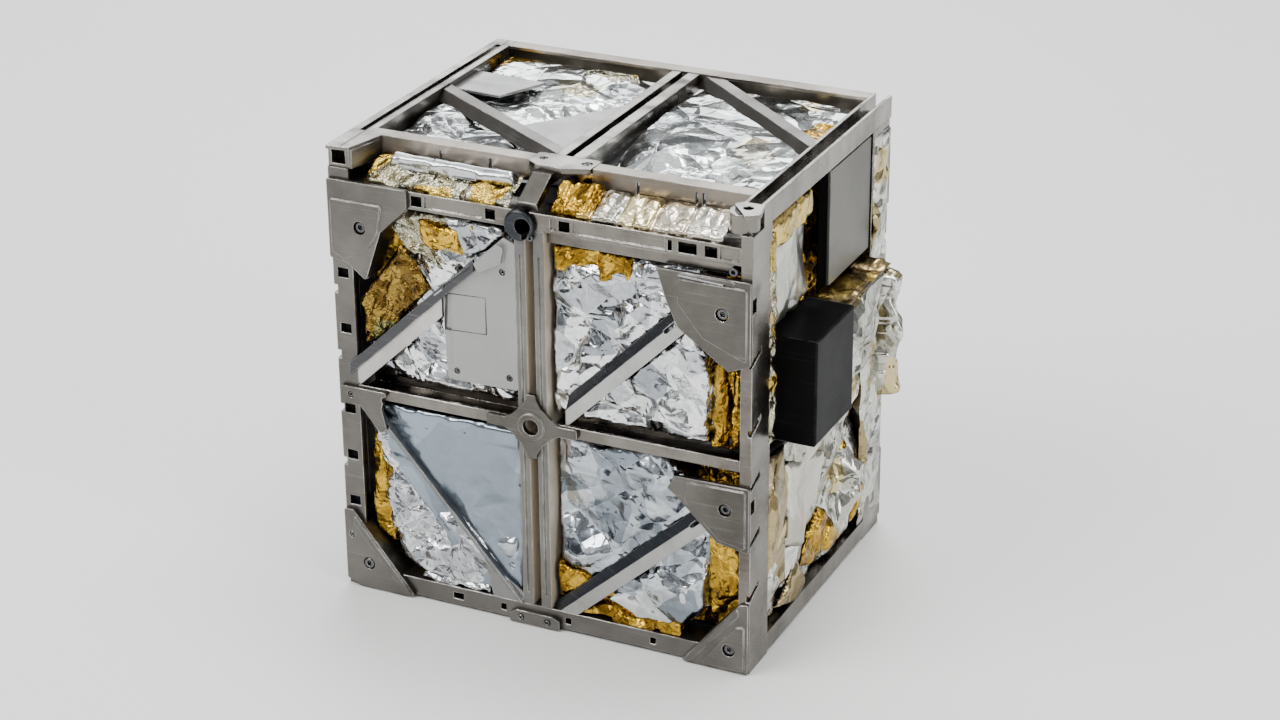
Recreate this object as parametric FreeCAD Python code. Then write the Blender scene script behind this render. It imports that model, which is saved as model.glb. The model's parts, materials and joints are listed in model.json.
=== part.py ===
import FreeCAD, Part
import math
import os

# A small cube-shaped satellite: a light slotted frame round a foil-wrapped bus.
# Millimetres. X runs to the right, Y to the back and Z up. The origin is at the bottom hub's bore,
# in the plane of the feet.

# Overall sizes
body_width = 100.0
body_depth = 80.0
frame_height = 99.6
deck_rise = 7.8

# Sheet and frame sections
sheet = 0.8
gusset_sheet = 1.0
pad_rise = 0.4
frame_depth = 10.0
post_width = 5.0
post_lip = 2.6
rail_height = 4.0
rail_flange = 7.0
apron_drop = 2.8
deck_height = 5.0
mid_offset = 1.4
mid_lip = 2.6
mid_depth = 8.0
mid_back_rise = 1.2
bottom_clear = 0.6
bottom_height = 4.4
bottom_flange = 6.0
wall_depth = 6.0

# The upright pair of blades in the middle of the front and back
blade_x = -1.4
blade_width = 2.5
blade_slot = 2.0
blade_depth = 9.0

# The round socket at the head of the blades
socket_x = -3.2
socket_drop = 3.0
socket_radius = 3.5
socket_bore = 1.9
socket_bore_shift = 1.0
socket_depth = 7.0
socket_floor = 1.0
socket_slot = (-0.3, 1.3)

# The hub in the middle
hub_boss_radius = 3.1
hub_bore = 1.9
hub_arm = 11.0
hub_upright = 7.6
hub_half = 1.2
hub_bore_depth = 6.0

# Corner feet and their tapped holes
foot_height = 3.5
foot_hole = 1.25
foot_hole_depth = 3.0
foot_inset_x = 2.5
foot_inset_y = 6.0
screw_hole = 1.5
small_hole = 0.8

# The bus inside, and the wrapping on it
core_side_gap = 6.0
core_end_gap = 0.5
core_bottom = 4.5
core_drop = 0.9
base_foil = 1.5
foil_gap = 0.3
foil_stand = 3.0
foil_bevel = 1.5
fold_length = 16.0
fold_sag = 1.8

# Folded strips that brace the bays
brace_face = 2.9
brace_fold = 2.1
brace_sheet = 0.7

# The deck's bars and node plate
bar_widths = (2.2, 2.8)
bar_slot = 1.8
bar_top_gap = 0.2
bar_height = 3.8
deck_flange = 3.5
node_sides = (-6.0, 9.0)
node_length = 7.0
node_overhang = 2.0
node_plate = 1.2

# The deck's left strip, and the two thin plates beside it
deck_strip_start = 25.0
plate_sheet = 0.6
plate_drop = 1.2
small_plate_gap = 12.4
small_plate_width = 18.0
small_plate_length = 12.6
large_plate_start = 11.4
large_plate_width = 16.6
large_plate_length = 32.0

# The black sensor box and the radiator plate on the right side
sensor_reach = 8.3
sensor_inset = 5.0
sensor_length = 21.5
sensor_height = 24.6
sensor_drop = 1.5
sensor_round = 0.5
radiator_length = 24.0
radiator_sheet = 1.0
radiator_gap = 6.0

# The bottom hub and bars
base_hub_radius = 9.0
base_hub_bore = 2.5
base_hub_height = 3.2
base_bar = (1.2, 3.6)

# Places that follow from the sizes
left = -body_width / 2
right = body_width / 2
front = -body_depth / 2
back = body_depth / 2
face = front + gusset_sheet
post_back = face + frame_depth
post_inner = left + post_width
lip_inner = right - post_lip
top_height = frame_height + deck_rise
deck_bottom = top_height - deck_height
rail_bottom = frame_height - rail_height
mid_height = frame_height / 2 + mid_offset
hub_z = mid_height - mid_lip / 2
bottom_top = bottom_clear + bottom_height
blade_left = blade_x - blade_slot / 2 - blade_width
blade_right = blade_x + blade_slot / 2 + blade_width
socket_z = frame_height - socket_drop
socket_bore_x = socket_x + socket_bore_shift
left_bay = (post_inner, blade_left)
right_bay = (blade_right, lip_inner)
upper_band = (mid_height, rail_bottom)
lower_band = (bottom_top, mid_height - mid_lip)
core_half_width = body_width / 2 - core_side_gap
core_half_depth = -post_back - core_end_gap
core_top = deck_bottom - core_drop
deck_front = post_back
deck_back = back - deck_flange
deck_right = right - post_width + 0.4
node_back = deck_front + node_length - node_overhang
bar_left = (-bar_widths[0] - bar_top_gap, -bar_top_gap)
bar_right = (bar_left[1] + bar_slot, bar_left[1] + bar_slot + bar_widths[1])
bar_z = (top_height - bar_top_gap - bar_height, top_height - bar_top_gap)
side_seat = core_half_width + base_foil
cover_edge = blade_left - 18.1
sensor_front = -core_half_depth + sensor_inset
sensor_bottom = mid_height - sensor_drop
sensor_top = sensor_bottom + sensor_height

nodes = {}


def vec(x, y, z):
    return FreeCAD.Vector(x, y, z)


def block(x, y, z):
    return Part.makeBox(x[1] - x[0], y[1] - y[0], z[1] - z[0], vec(x[0], y[0], z[0]))


def place(axis, along, u, v):
    # a point from its place along an axis and its two other coordinates, in X, Y, Z order
    return {"x": vec(along, u, v), "y": vec(u, along, v), "z": vec(u, v, along)}[axis]


def ring(axis, points, along, radius=0):
    # a closed outline across the axis, its corners rounded by the radius where there is room
    corners = [vec(u, v, 0) for u, v in points]
    edges = []
    stops = []
    for i, at in enumerate(corners):
        before = corners[i - 1] - at
        after = corners[(i + 1) % len(corners)] - at
        half = before.getAngle(after) / 2
        room = 0.45 * min(before.Length, after.Length) * math.tan(half)
        turn = min(radius, room)
        if turn < 0.05 or half > 1.55:
            stops.append((at, None, at))
            continue
        before.normalize()
        after.normalize()
        reach = turn / math.tan(half)
        bisector = before + after
        bisector.normalize()
        middle = at + bisector * (turn / math.sin(half) - turn)
        stops.append((at + before * reach, middle, at + after * reach))
    for i, (start, middle, end) in enumerate(stops):
        start, end = place(axis, along, start.x, start.y), place(axis, along, end.x, end.y)
        if middle is not None:
            edges.append(Part.Arc(start, place(axis, along, middle.x, middle.y), end).toShape())
        following = stops[(i + 1) % len(stops)][0]
        edges.append(Part.LineSegment(end, place(axis, along, following.x, following.y)).toShape())
    return Part.Wire(edges)


def prism(axis, points, start, end, radius=0):
    # an outline in the plane across the axis, drawn out from start to end
    return Part.Face(ring(axis, points, start, radius)).extrude(place(axis, end - start, 0, 0))


def inset(points, gap):
    # the same outline moved in by a gap, for outlines that run anticlockwise
    moved = []
    for i, (u, v) in enumerate(points):
        before = vec(u - points[i - 1][0], v - points[i - 1][1], 0)
        following = points[(i + 1) % len(points)]
        after = vec(following[0] - u, following[1] - v, 0)
        before.normalize()
        after.normalize()
        inward = vec(-before.y - after.y, before.x + after.x, 0)
        share = gap / (1 + before.dot(after))
        moved.append((u + inward.x * share, v + inward.y * share))
    return moved


def pin(axis, centre, radius, start, end):
    return Part.makeCylinder(radius, end - start, place(axis, start, *centre), place(axis, 1, 0, 0))


def pad(axis, points, seat, crown, bevel):
    # a flat pad of wrapping with bevelled edges, from its seat to its crown
    return Part.makeLoft([ring(axis, points, seat), ring(axis, inset(points, bevel), crown)], True, True)


def oblong(u, v):
    return [(u[0], v[0]), (u[1], v[0]), (u[1], v[1]), (u[0], v[1])]


def share_out(span, count, margin):
    # evenly spaced places along a span, from one margin to the other
    start = span[0] + margin
    step = (span[1] - span[0] - 2 * margin) / count
    return [start + step * i for i in range(count + 1)]


def folded_pad(axis, u, v, seat, crown, bevel, sag, phase):
    # a rectangular pad of wrapping whose crown falls into wide flat folds
    columns = max(2, round((u[1] - u[0]) / fold_length))
    rows = max(2, round((v[1] - v[0]) / fold_length))
    outer_u, outer_v = share_out(u, columns, 0), share_out(v, rows, 0)
    inner_u, inner_v = share_out(u, columns, bevel), share_out(v, rows, bevel)
    side = 1 if crown > seat else -1

    def crest(i, j):
        drop = 0.5 + 0.5 * math.sin(2.6 * i + 4.1 * j + 1.7 * i * j + phase)
        skew = 0.22 * fold_length * math.sin(3.7 * i + 2.2 * j + phase)
        inside = 0 < i < columns and 0 < j < rows
        shift = skew if inside else 0.0
        return place(axis, crown - side * sag * drop, inner_u[i] + shift, inner_v[j] - shift)

    def facet(*corners):
        return Part.Face(Part.makePolygon([*corners, corners[0]]))

    faces = []
    for i in range(columns):
        for j in range(rows):
            a, b, c, d = crest(i, j), crest(i + 1, j), crest(i + 1, j + 1), crest(i, j + 1)
            if (i + j) % 2:
                faces += [facet(a, b, c), facet(a, c, d)]
            else:
                faces += [facet(a, b, d), facet(b, c, d)]
    around = [(i, 0) for i in range(columns)] + [(columns, j) for j in range(rows)]
    around += [(i, rows) for i in range(columns, 0, -1)] + [(0, j) for j in range(rows, 0, -1)]
    foot = [place(axis, seat, outer_u[i], outer_v[j]) for i, j in around]
    rim = [crest(i, j) for i, j in around]
    for k in range(len(around)):
        following = (k + 1) % len(around)
        faces.append(facet(foot[k], foot[following], rim[following]))
        faces.append(facet(foot[k], rim[following], rim[k]))
    faces.append(facet(*foot))
    solid = Part.Solid(Part.Shell(faces))
    return solid if solid.Volume > 0 else solid.reversed()


def from_corner(x, z, side_x, side_z, offsets):
    # points given by their distances in from a corner of the frame
    return [(x + side_x * across, z + side_z * along) for across, along in offsets]


def half_turn(shape):
    # the same piece on the opposite side of the satellite
    turned = shape.copy()
    turned.rotate(vec(0, 0, 0), vec(0, 0, 1), 180)
    return turned


def keep(name, *shapes):
    nodes[name] = [solid for shape in shapes for solid in shape.Solids]


def cut_all(shape, tools):
    for tool in tools:
        shape = shape.cut(tool)
    return shape


def post(side, lip):
    # a channel open to the inside with a solid foot, on the left (-1) or the right (1)
    outer = side * body_width / 2
    edge = outer - side * lip
    web = outer - side * sheet
    outline = [
        (outer, face),
        (edge, face),
        (edge, face + sheet),
        (web, face + sheet),
        (web, post_back - sheet),
        (edge, post_back - sheet),
        (edge, post_back),
        (outer, post_back),
    ]
    foot_x = sorted((outer, outer - side * post_width))
    foot = block(foot_x, (face, post_back), (0, foot_height))
    centre = (outer - side * foot_inset_x, front + foot_inset_y)
    column = prism("z", outline, 0, deck_bottom).fuse(foot).removeSplitter()
    return column.cut(pin("z", centre, foot_hole, 0, foot_hole_depth))


def face_slot(x, z, width, height):
    return block(
        (x - width / 2, x + width / 2),
        (face - 1, face + sheet + 0.1),
        (z - height / 2, z + height / 2),
    )


def side_notch(side, z, rise, height, depth):
    # a slanted slot through a post's side, open at its front edge
    outer = side * body_width / 2
    start, end = sorted((outer + side, outer - side * (sheet + 0.1)))
    points = [
        (face - 1, z),
        (face + depth, z + rise),
        (face + depth, z + rise + height),
        (face - 1, z + height),
    ]
    return prism("x", points, start, end)


def front_posts():
    slot_x = left + post_width / 2
    heights = [mid_height + 26.6, mid_height + 13.3, mid_height - 6.4, mid_height - 17.9, mid_height - 29.5]
    left_post = post(-1, post_width)
    left_post = cut_all(left_post, [face_slot(slot_x, z, 2.7, 2.3) for z in heights])
    right_post = post(1, post_lip)
    sides = (mid_height + 21.4, mid_height + 5.6, mid_height - 7.6, mid_height - 21.0, mid_height - 34.0)
    for z in sides:
        left_post = left_post.cut(side_notch(-1, z, 0.6, 2.0, 4.6))
        right_post = right_post.cut(side_notch(1, z, 2.4, 1.5, 5.0))
    for z in (mid_height + 34.0, mid_height - 12.4):
        right_post = right_post.cut(side_notch(1, z, 0, 3.2, 2.4))
    return left_post, right_post


def channel(x, z, upper, lower):
    # a rail along X, open to the back
    points = [
        (face, z[0]),
        (face, z[1]),
        (face + upper, z[1]),
        (face + upper, z[1] - sheet),
        (face + sheet, z[1] - sheet),
        (face + sheet, z[0] + sheet),
        (face + lower, z[0] + sheet),
        (face + lower, z[0]),
    ]
    return prism("x", points, x[0], x[1])


def socket_outline(clearance=0):
    return pin("y", (socket_x, socket_z), socket_radius + clearance, front - 1, post_back)


def top_rail():
    # windows in the web, and an apron under the right half
    rail = channel((post_inner, lip_inner), (rail_bottom, frame_height), rail_flange, rail_flange - 2)
    apron = block(
        (blade_right, lip_inner),
        (face + 2 * sheet, face + 3 * sheet),
        (rail_bottom - apron_drop, rail_bottom),
    )
    rail = rail.fuse(apron).removeSplitter().cut(socket_outline())
    middle = (rail_bottom + frame_height) / 2
    tall = rail_height - 2 * sheet
    slots = (
        (left + 21.6, 2.6),
        (blade_left - 5.6, 2.4),
        (blade_right + 4.9, 2.6),
        (right - 18.7, 1.0),
        (right - 14.7, 4.2),
        (right - 9.4, 2.8),
    )
    windows = [face_slot(x, middle, width, tall) for x, width in slots]
    # the web is set back between its two lips
    depth = (face - 1, face + sheet / 2)
    height = (rail_bottom + sheet, frame_height - 0.6)
    panels = (
        (left + 23.6, blade_left - 7.6),
        (blade_right + 1.6, blade_right + 3.0),
        (blade_right + 6.9, right - 19.9),
        (right - 7.4, lip_inner - 0.5),
    )
    return cut_all(rail, windows + [block(x, depth, height) for x in panels])


def bottom_rail():
    rail = channel((post_inner, right - post_width), (bottom_clear, bottom_top), bottom_flange, bottom_flange)
    middle = (bottom_clear + bottom_top) / 2
    for x, width in ((left + 28.5, 2.6), (left + 40.0, 1.4), (blade_right + 4.1, 1.4), (right - 23.0, 1.4)):
        rail = rail.cut(face_slot(x, middle, width, 1.6))
    return rail


def mid_rail():
    # a trough open at the top, its back wall the higher one, in two lengths beside the blades
    bottom = mid_height - mid_lip
    points = [
        (face, bottom),
        (face, mid_height),
        (face + sheet, mid_height),
        (face + sheet, bottom + sheet),
        (face + mid_depth - sheet, bottom + sheet),
        (face + mid_depth - sheet, mid_height + mid_back_rise),
        (face + mid_depth, mid_height + mid_back_rise),
        (face + mid_depth, bottom),
    ]
    return prism("x", points, post_inner, blade_left), prism("x", points, blade_right, lip_inner)


def blades():
    hub_hole = pin("y", (blade_x, hub_z), hub_bore, front - 1, front + hub_bore_depth)
    pair = []
    for x in (blade_left, blade_right - blade_width):
        blade = block((x, x + blade_width), (face, face + blade_depth), (bottom_top, rail_bottom))
        groove = block(
            (x + blade_width / 2 - 0.25, x + blade_width / 2 + 0.25),
            (face - 1, face + 0.3),
            (bottom_top + 3, rail_bottom - 6),
        )
        pair.append(cut_all(blade, [socket_outline(), hub_hole, groove]))
    return pair


def socket():
    # a thick round cup with its bore off centre, slotted into the gap between the blades
    start = front - pad_rise
    end = face + socket_depth
    cup = pin("y", (socket_x, socket_z), socket_radius, start, end)
    rim = [edge for edge in cup.Edges if edge.BoundBox.YMax < start + 0.01]
    cup = cup.makeFillet(socket_radius / 6, rim)
    bore = pin("y", (socket_bore_x, socket_z), socket_bore, start - 1, end - socket_floor)
    slot = block(
        (socket_bore_x + socket_slot[0], socket_bore_x + socket_slot[1]),
        (start - 1, end - socket_floor),
        (socket_z - socket_radius - 1, socket_z),
    )
    return cup.cut(bore).cut(slot)


def hub():
    # a cross of four arms with a faceted middle and a raised boss round the bore
    near = 4.8
    wide = 2.2
    points = []
    for dx, dz, reach in ((1, 0, hub_arm), (0, 1, hub_upright), (-1, 0, hub_arm), (0, -1, hub_upright)):
        for along, off in (
            (near, -wide),
            (near + 1.8, -hub_half),
            (reach, -hub_half),
            (reach, hub_half),
            (near + 1.8, hub_half),
            (near, wide),
        ):
            points.append((blade_x + dx * along - dz * off, hub_z + dz * along + dx * off))
    star = prism("y", points, front, face, 0.6)
    boss = pin("y", (blade_x, hub_z), hub_boss_radius, front - pad_rise, face)
    return star.fuse(boss).cut(pin("y", (blade_x, hub_z), hub_bore, front - 1, face + 1))


def gusset(outline, raised, hole, radius=0.5):
    # a corner plate with a raised pad round its screw hole
    plate = prism("y", outline, front, face, radius)
    pads = [prism("y", points, front - pad_rise, front, radius) for points in raised]
    for shape in pads:
        plate = plate.fuse(shape)
    return plate.removeSplitter().cut(pin("y", hole, screw_hole, front - 2, face + 1))


def wall(points, clip):
    # a wall that turns back from a gusset's free edge, one sheet thick
    return prism("y", points, face, face + wall_depth, 1.2).common(clip)


def upper_left_gusset():
    def at(offsets):
        return from_corner(left, frame_height, 1, -1, offsets)

    plate = gusset(
        at([(0, 18.0), (4.1, 18.6), (8.8, 22.2), (12.9, 10.3), (19.7, 3.7), (19.7, -0.4), (0, -0.4)]),
        [at([(0.8, 16.4), (3.8, 17.9), (9.9, 14.6), (12.3, 10.3), (13.4, 4.1), (0.8, 4.1)])],
        at([(8.0, 9.9)])[0],
    )
    edge = [(8.8, 22.2), (12.9, 10.3), (19.7, rail_height - 0.3), (18.6, rail_height - 0.3), (12.1, 10.0), (7.9, 22.0)]
    clip = block((left, 0), (face, post_back), (mid_height, rail_bottom))
    return plate.fuse(wall(at(edge), clip))


def upper_right_gusset():
    def at(offsets):
        return from_corner(right, frame_height, -1, -1, offsets)

    return gusset(
        at([(21.3, 7.0), (0, 7.0), (0, 25.8), (5.0, 27.7), (16.5, 19.7), (19.2, 13.9)]),
        [
            at([(16.4, 8.6), (0.8, 8.6), (0.8, 25.0), (10.8, 20.9), (16.4, 14.0)]),
            at([(16.4, 7.2), (3.6, 7.2), (3.6, 8.0), (16.4, 8.0)]),
        ],
        at([(6.3, 14.9)])[0],
    )


def middle_right_gusset():
    def at(offsets):
        return from_corner(right, mid_height, -1, -1, offsets)

    return gusset(
        at([(19.1, 9.2), (17.0, 6.0), (0, 5.8), (0, 21.2), (7.4, 20.0), (16.7, 10.8)]),
        [at([(14.8, 6.8), (0.8, 6.6), (0.8, 20.2), (6.9, 19.0), (14.8, 11.2)])],
        at([(5.4, 11.6)])[0],
    )


def middle_left_bracket():
    def at(offsets):
        return from_corner(left, mid_height, 1, -1, offsets)

    outline = at([(0.8, 0.4), (0.8, 4.2), (5.6, 4.6), (10.6, 10.6), (12.2, 9.4), (11.0, 4.4), (12.6, 0.4)])
    plate = prism("y", outline, front, face, 0.5)
    notch = pin("y", at([(12.2, 2.4)])[0], 1.0, front - 1, face + 1)
    return plate.cut(pin("y", at([(3.4, 2.3)])[0], small_hole, front - 1, face + 1)).cut(notch)


def lower_left_gusset():
    def at(offsets):
        return from_corner(left, 0, 1, 1, offsets)

    plate = gusset(
        at([(2.4, 19.6), (17.7, 0.7), (15.6, 0.2), (3.6, 0.2), (0, 1.8), (0, 19.6)]),
        [at([(2.6, 18.6), (17.0, 0.9), (15.1, 0.9), (2.6, 16.2)])],
        at([(5.9, 6.6)])[0],
    )
    plate = plate.cut(pin("y", at([(1.8, 13.3)])[0], small_hole, front - 2, face + 1))
    edge = [(2.4, 19.6), (17.7, 0.7), (16.7, -0.1), (1.4, 18.8)]
    clip = block((post_inner, 0), (face, post_back), (bottom_top, mid_height))
    return plate.fuse(wall(at(edge), clip))


def lower_right_gusset():
    def at(offsets):
        return from_corner(right, 0, -1, 1, offsets)

    plate = gusset(
        at([(15.8, 0.4), (2.1, 17.0), (0, 17.6), (0, 0.2), (13.9, 0.2)]),
        [
            at([(15.2, 0.7), (2.1, 16.4), (2.1, 14.4), (13.6, 0.7)]),
            at([(11.4, 0.9), (2.6, 11.6), (0.8, 12.0), (0.8, 0.9)]),
        ],
        at([(4.3, 5.6)])[0],
    )
    edge = [(15.8, 0.4), (2.1, 17.0), (1.2, 16.2), (14.9, -0.4)]
    clip = block((0, lip_inner), (face, post_back), (bottom_top, mid_height))
    return plate.fuse(wall(at(edge), clip))


def front_gussets():
    return {
        "gusset_upper_left": upper_left_gusset(),
        "gusset_upper_right": upper_right_gusset(),
        "gusset_middle_left": middle_left_bracket(),
        "gusset_middle_right": middle_right_gusset(),
        "gusset_lower_left": lower_left_gusset(),
        "gusset_lower_right": lower_right_gusset(),
    }


# the section of a folded strip: a sloping side, then the flat face, one thin sheet all through
folded = [
    (0.0, brace_fold),
    (brace_fold, 0.0),
    (brace_fold + brace_face, 0.0),
    (brace_fold + brace_face, brace_sheet),
    (brace_fold + 0.4 * brace_sheet, brace_sheet),
    (brace_sheet, brace_fold + 0.5 * brace_sheet),
]


def strip(start, end, section, inward, clip, spare=6.0):
    # a section drawn along a line in a bay; its first size goes across, its second inward
    unit = end - start
    unit.normalize()
    first = start - unit * spare
    across = inward.cross(unit)
    corners = [first + across * u + inward * v for u, v in section]
    outline = Part.Face(Part.makePolygon(corners + corners[:1]))
    return outline.extrude(end + unit * spare - first).common(clip)


def bay_strip(start, end, section, clip):
    return strip(vec(start[0], face, start[1]), vec(end[0], face, end[1]), section, vec(0, 1, 0), clip)


def end_slot(start, end, length, across):
    # a long round-ended slot near the upper end of a strip in a front bay
    unit = vec(end[0] - start[0], 0, end[1] - start[1])
    unit.normalize()
    side = vec(0, 1, 0).cross(unit)
    near = vec(end[0], 0, end[1]) + side * across
    far = near - unit * length
    half = side * 0.45
    points = [(p.x, p.z) for p in (far - half, near - half, near + half, far + half)]
    return prism("y", points, front, post_back, 0.4)


def upper_left_brace():
    # a dark rail over the cover plate's edge, and a flat strip beside it that stops at the plate
    start = (post_inner + 1.9, mid_height + 7.3)
    end = (blade_left - 2.9, rail_bottom - 3.7)
    clip = block((post_inner - 1.6, blade_left - 9.7), (front, face), upper_band)
    beside = block((post_inner, cover_edge), (face, face + wall_depth), upper_band)
    rail = bay_strip(start, end, [(-1.0, -gusset_sheet), (1.1, -gusset_sheet), (1.1, 0.0), (-1.0, 0.0)], clip)
    web = bay_strip(start, end, [(-1.0, 0.0), (-0.3, 0.0), (-0.3, 2.4), (-1.0, 2.4)], beside)
    flat = bay_strip(start, end, [(-0.6, 0.0), (4.2, 0.0), (4.2, brace_sheet), (-0.6, brace_sheet)], beside)
    groove = bay_strip(
        (cover_edge + 1.0, mid_height + 28.2), end, [(-0.2, -2.0), (0.3, -2.0), (0.3, -0.6), (-0.2, -0.6)],
        block((cover_edge + 1.0, blade_left - 7.0), (front - 1, face), upper_band),
    )
    return rail.fuse(web).fuse(flat).removeSplitter().cut(groove)


def upper_right_brace():
    start = (blade_right + 4.5, mid_height + 6.8)
    end = (right - 16.7, rail_bottom - 11.5)
    clip = block((blade_right + 4.4, right - 12.4), (face, face + wall_depth), (upper_band[0], upper_band[1] - 10.0))
    return bay_strip(start, end, folded, clip).cut(end_slot(start, end, 7.0, brace_fold + 0.2))


def lower_left_brace():
    # a thin strip on edge with a flat foot at its lower end
    start = (post_inner + 6.1, mid_height - 8.1)
    end = (blade_left + 0.2, bottom_top - 0.6)
    clip = block((post_inner + 5.0, blade_left), (face, face + wall_depth), lower_band)
    ahead = block((post_inner + 7.4, blade_left), (front, face), lower_band)
    blade = [(-0.5, 0.0), (0.9, 0.0), (0.9, 0.5), (0.2, 0.5), (0.2, foil_stand), (-0.5, foil_stand)]
    lip = [(-0.5, -0.6), (0.2, -0.6), (0.9, 0.0), (-0.5, 0.0)]
    foot = prism(
        "y",
        [(blade_left - 7.6, bottom_top), (blade_left, bottom_top), (blade_left, bottom_top + 2.6),
         (blade_left - 9.6, bottom_top + 9.0)],
        face,
        face + sheet,
    )
    shape = bay_strip(start, end, blade, clip).fuse(bay_strip(start, end, lip, ahead)).fuse(foot)
    return shape.removeSplitter()


def lower_right_brace():
    start = (blade_right + 1.5, bottom_top + 2.2)
    end = (right - 13.3, mid_height - 14.4)
    clip = block(right_bay, (face, face + wall_depth), (lower_band[0], lower_band[1] - 10.4))
    return bay_strip(start, end, folded, clip).cut(end_slot(start, end, 3.0, brace_fold + 0.2))


def front_braces():
    return {
        "brace_upper_left": upper_left_brace(),
        "brace_upper_right": upper_right_brace(),
        "brace_lower_left": lower_left_brace(),
        "brace_lower_right": lower_right_brace(),
    }


def cover_plate():
    # the flat plate in the upper left bay: its left margin is set back, and a clamp holds its top corner
    outline = [
        (blade_left, mid_height + 6.2),
        (blade_left, rail_bottom - 3.9),
        (blade_left - 2.7, rail_bottom - 2.9),
        (blade_left - 8.4, rail_bottom - 8.2),
        (cover_edge, rail_bottom - 18.5),
        (cover_edge + 0.7, mid_height + 5.9),
    ]
    plate = prism("y", outline, face, face + sheet, 0.6)
    margin = block((cover_edge - 1, cover_edge + 2.2), (face - 1, face + 0.35), (mid_height, rail_bottom - 18.0))
    clamp = prism(
        "y",
        [
            (blade_left - 2.3, rail_bottom - 4.9),
            (blade_left - 3.9, rail_bottom - 4.2),
            (blade_left - 9.6, rail_bottom - 9.6),
            (blade_left - 8.4, rail_bottom - 11.6),
            (blade_left - 3.0, rail_bottom - 8.6),
        ],
        front,
        face,
        0.6,
    )
    holes = (
        (blade_left - 3.1, rail_bottom - 10.9),
        (blade_left - 2.0, mid_height + 8.8),
        (cover_edge + 3.2, mid_height + 8.2),
    )
    tools = [pin("y", hole, 0.8, front - 1, face + 2) for hole in holes]
    return cut_all(plate.cut(margin).fuse(clamp), tools)


def bay_outlines():
    # the stretches of silver wrapping in the four bays, clear of the gussets' walls
    upper = (upper_band[0] + mid_back_rise + foil_gap, upper_band[1] - 1.0)
    lower = (lower_band[0] + 1.0, lower_band[1] - 1.0)
    near = post_inner + 1.0
    far = blade_left - 1.0
    begin = blade_right + 1.0
    end = lip_inner - 8.0
    return {
        "foil_upper_left": [
            (near + 2.0, upper[0]),
            (far, upper[0]),
            (far, upper[1]),
            (near + 15.5, upper[1]),
            (near + 9.4, upper[1] - 6.5),
            (near + 4.0, upper[1] - 21.0),
        ],
        "foil_upper_right": [
            (begin, upper[0]),
            (end, upper[0]),
            (end, upper[1] - 3.0),
            (begin, upper[1] - 3.0),
        ],
        "foil_lower_left": [
            (near + 17.0, lower[0]),
            (far, lower[0]),
            (far, lower[1]),
            (near + 3.0, lower[1]),
            (near + 3.0, lower[0] + 17.0),
        ],
        "foil_lower_right": [
            (begin + 1.5, lower[0] + 1.0),
            (end - 5.0, lower[0] + 1.0),
            (end, lower[0] + 7.0),
            (end, lower[1]),
            (begin + 1.5, lower[1]),
        ],
    }


def front_foils():
    seat = post_back - core_end_gap - base_foil
    silver = {}
    for name, points in bay_outlines().items():
        silver[name] = pad("y", points, seat, face + foil_stand, foil_bevel)
    gold = []
    for x in (left_bay, right_bay):
        for z in (upper_band, lower_band):
            bay = oblong((x[0] + foil_gap, x[1] - foil_gap), (z[0] + foil_gap, z[1] - foil_gap))
            gold.append(prism("y", bay, seat, -core_half_depth))
    return silver, gold


def deck_left_rail():
    # a square tube with a groove along its top and its front end open, and a cap that reaches the front rail
    z = (deck_bottom, top_height)
    start = front + 1.5
    outer = block((left, post_inner), (start, back), z)
    inner = block((left + sheet, post_inner - sheet), (front, back + 1), (z[0] + sheet, z[1] - sheet))
    groove = block((left + 1.8, left + 3.2), (deck_front + 1, deck_back), (z[1] - 2 * sheet, z[1] + 1))
    web = prism(
        "z",
        [
            (post_inner, start),
            (post_inner + sheet, start),
            (post_inner + 3.0, deck_front),
            (post_inner + 2.2, deck_front),
        ],
        z[0],
        z[1] - sheet,
    )
    cap = prism(
        "z",
        [(left, start - 1), (post_inner + 0.4, start - 0.4), (post_inner + 3.0, deck_front), (left, deck_front)],
        z[1] - sheet,
        z[1],
    )
    return outer.cut(inner).cut(groove).fuse(web).fuse(cap).removeSplitter()


def deck_right_rail():
    x = (deck_right, right)
    outer = block(x, (front + 7.0, back), (deck_bottom, top_height))
    groove = block((x[0] + sheet, x[1] - sheet), (front, back + 1), (deck_bottom + sheet, top_height + 1))
    return outer.cut(groove)


def deck_lug():
    # a rounded ear with a screw hole on a round post, at the deck's front right corner
    z = (deck_bottom, top_height - sheet)
    centre = (right - 3.4, front + 4.6)
    column = pin("z", centre, 3.2, *z).common(block((0, right), (front, front + 7.0), z))
    ear = prism(
        "z",
        [
            (right - 6.2, front + 5.4),
            (right - 1.4, front - 0.4),
            (right + 1.4, front + 1.6),
            (right, front + 7.0),
            (right - 4.6, front + 7.0),
        ],
        z[1],
        top_height,
        0.8,
    )
    return column.fuse(ear).cut(pin("z", (right - 2.4, front + 4.0), 1.1, top_height - 2.5, top_height + 1))


def deck_front_rail():
    # two lengths of angle beside the node plate, with upright joint lines in their front
    points = [
        (deck_front, deck_bottom),
        (deck_front, top_height),
        (deck_front + deck_flange, top_height),
        (deck_front + deck_flange, top_height - sheet),
        (deck_front + sheet, top_height - sheet),
        (deck_front + sheet, deck_bottom),
    ]
    parts = (prism("x", points, post_inner, node_sides[0]), prism("x", points, node_sides[1], deck_right))
    joints = [left + 22.5, left + 34.5, right - 30.5, right - 17.0, right - 15.4]
    tools = []
    for x in joints:
        tools.append(block(
            (x - 0.35, x + 0.35),
            (deck_front - 1, deck_front + sheet + 0.1),
            (deck_bottom + sheet, top_height - 1.4),
        ))
    return [cut_all(part, tools) for part in parts]


def deck_back_rail():
    points = [
        (back, deck_bottom),
        (back, top_height),
        (deck_back, top_height),
        (deck_back, top_height - sheet),
        (back - sheet, top_height - sheet),
        (back - sheet, deck_bottom),
    ]
    return prism("x", points, post_inner, deck_right)


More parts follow.
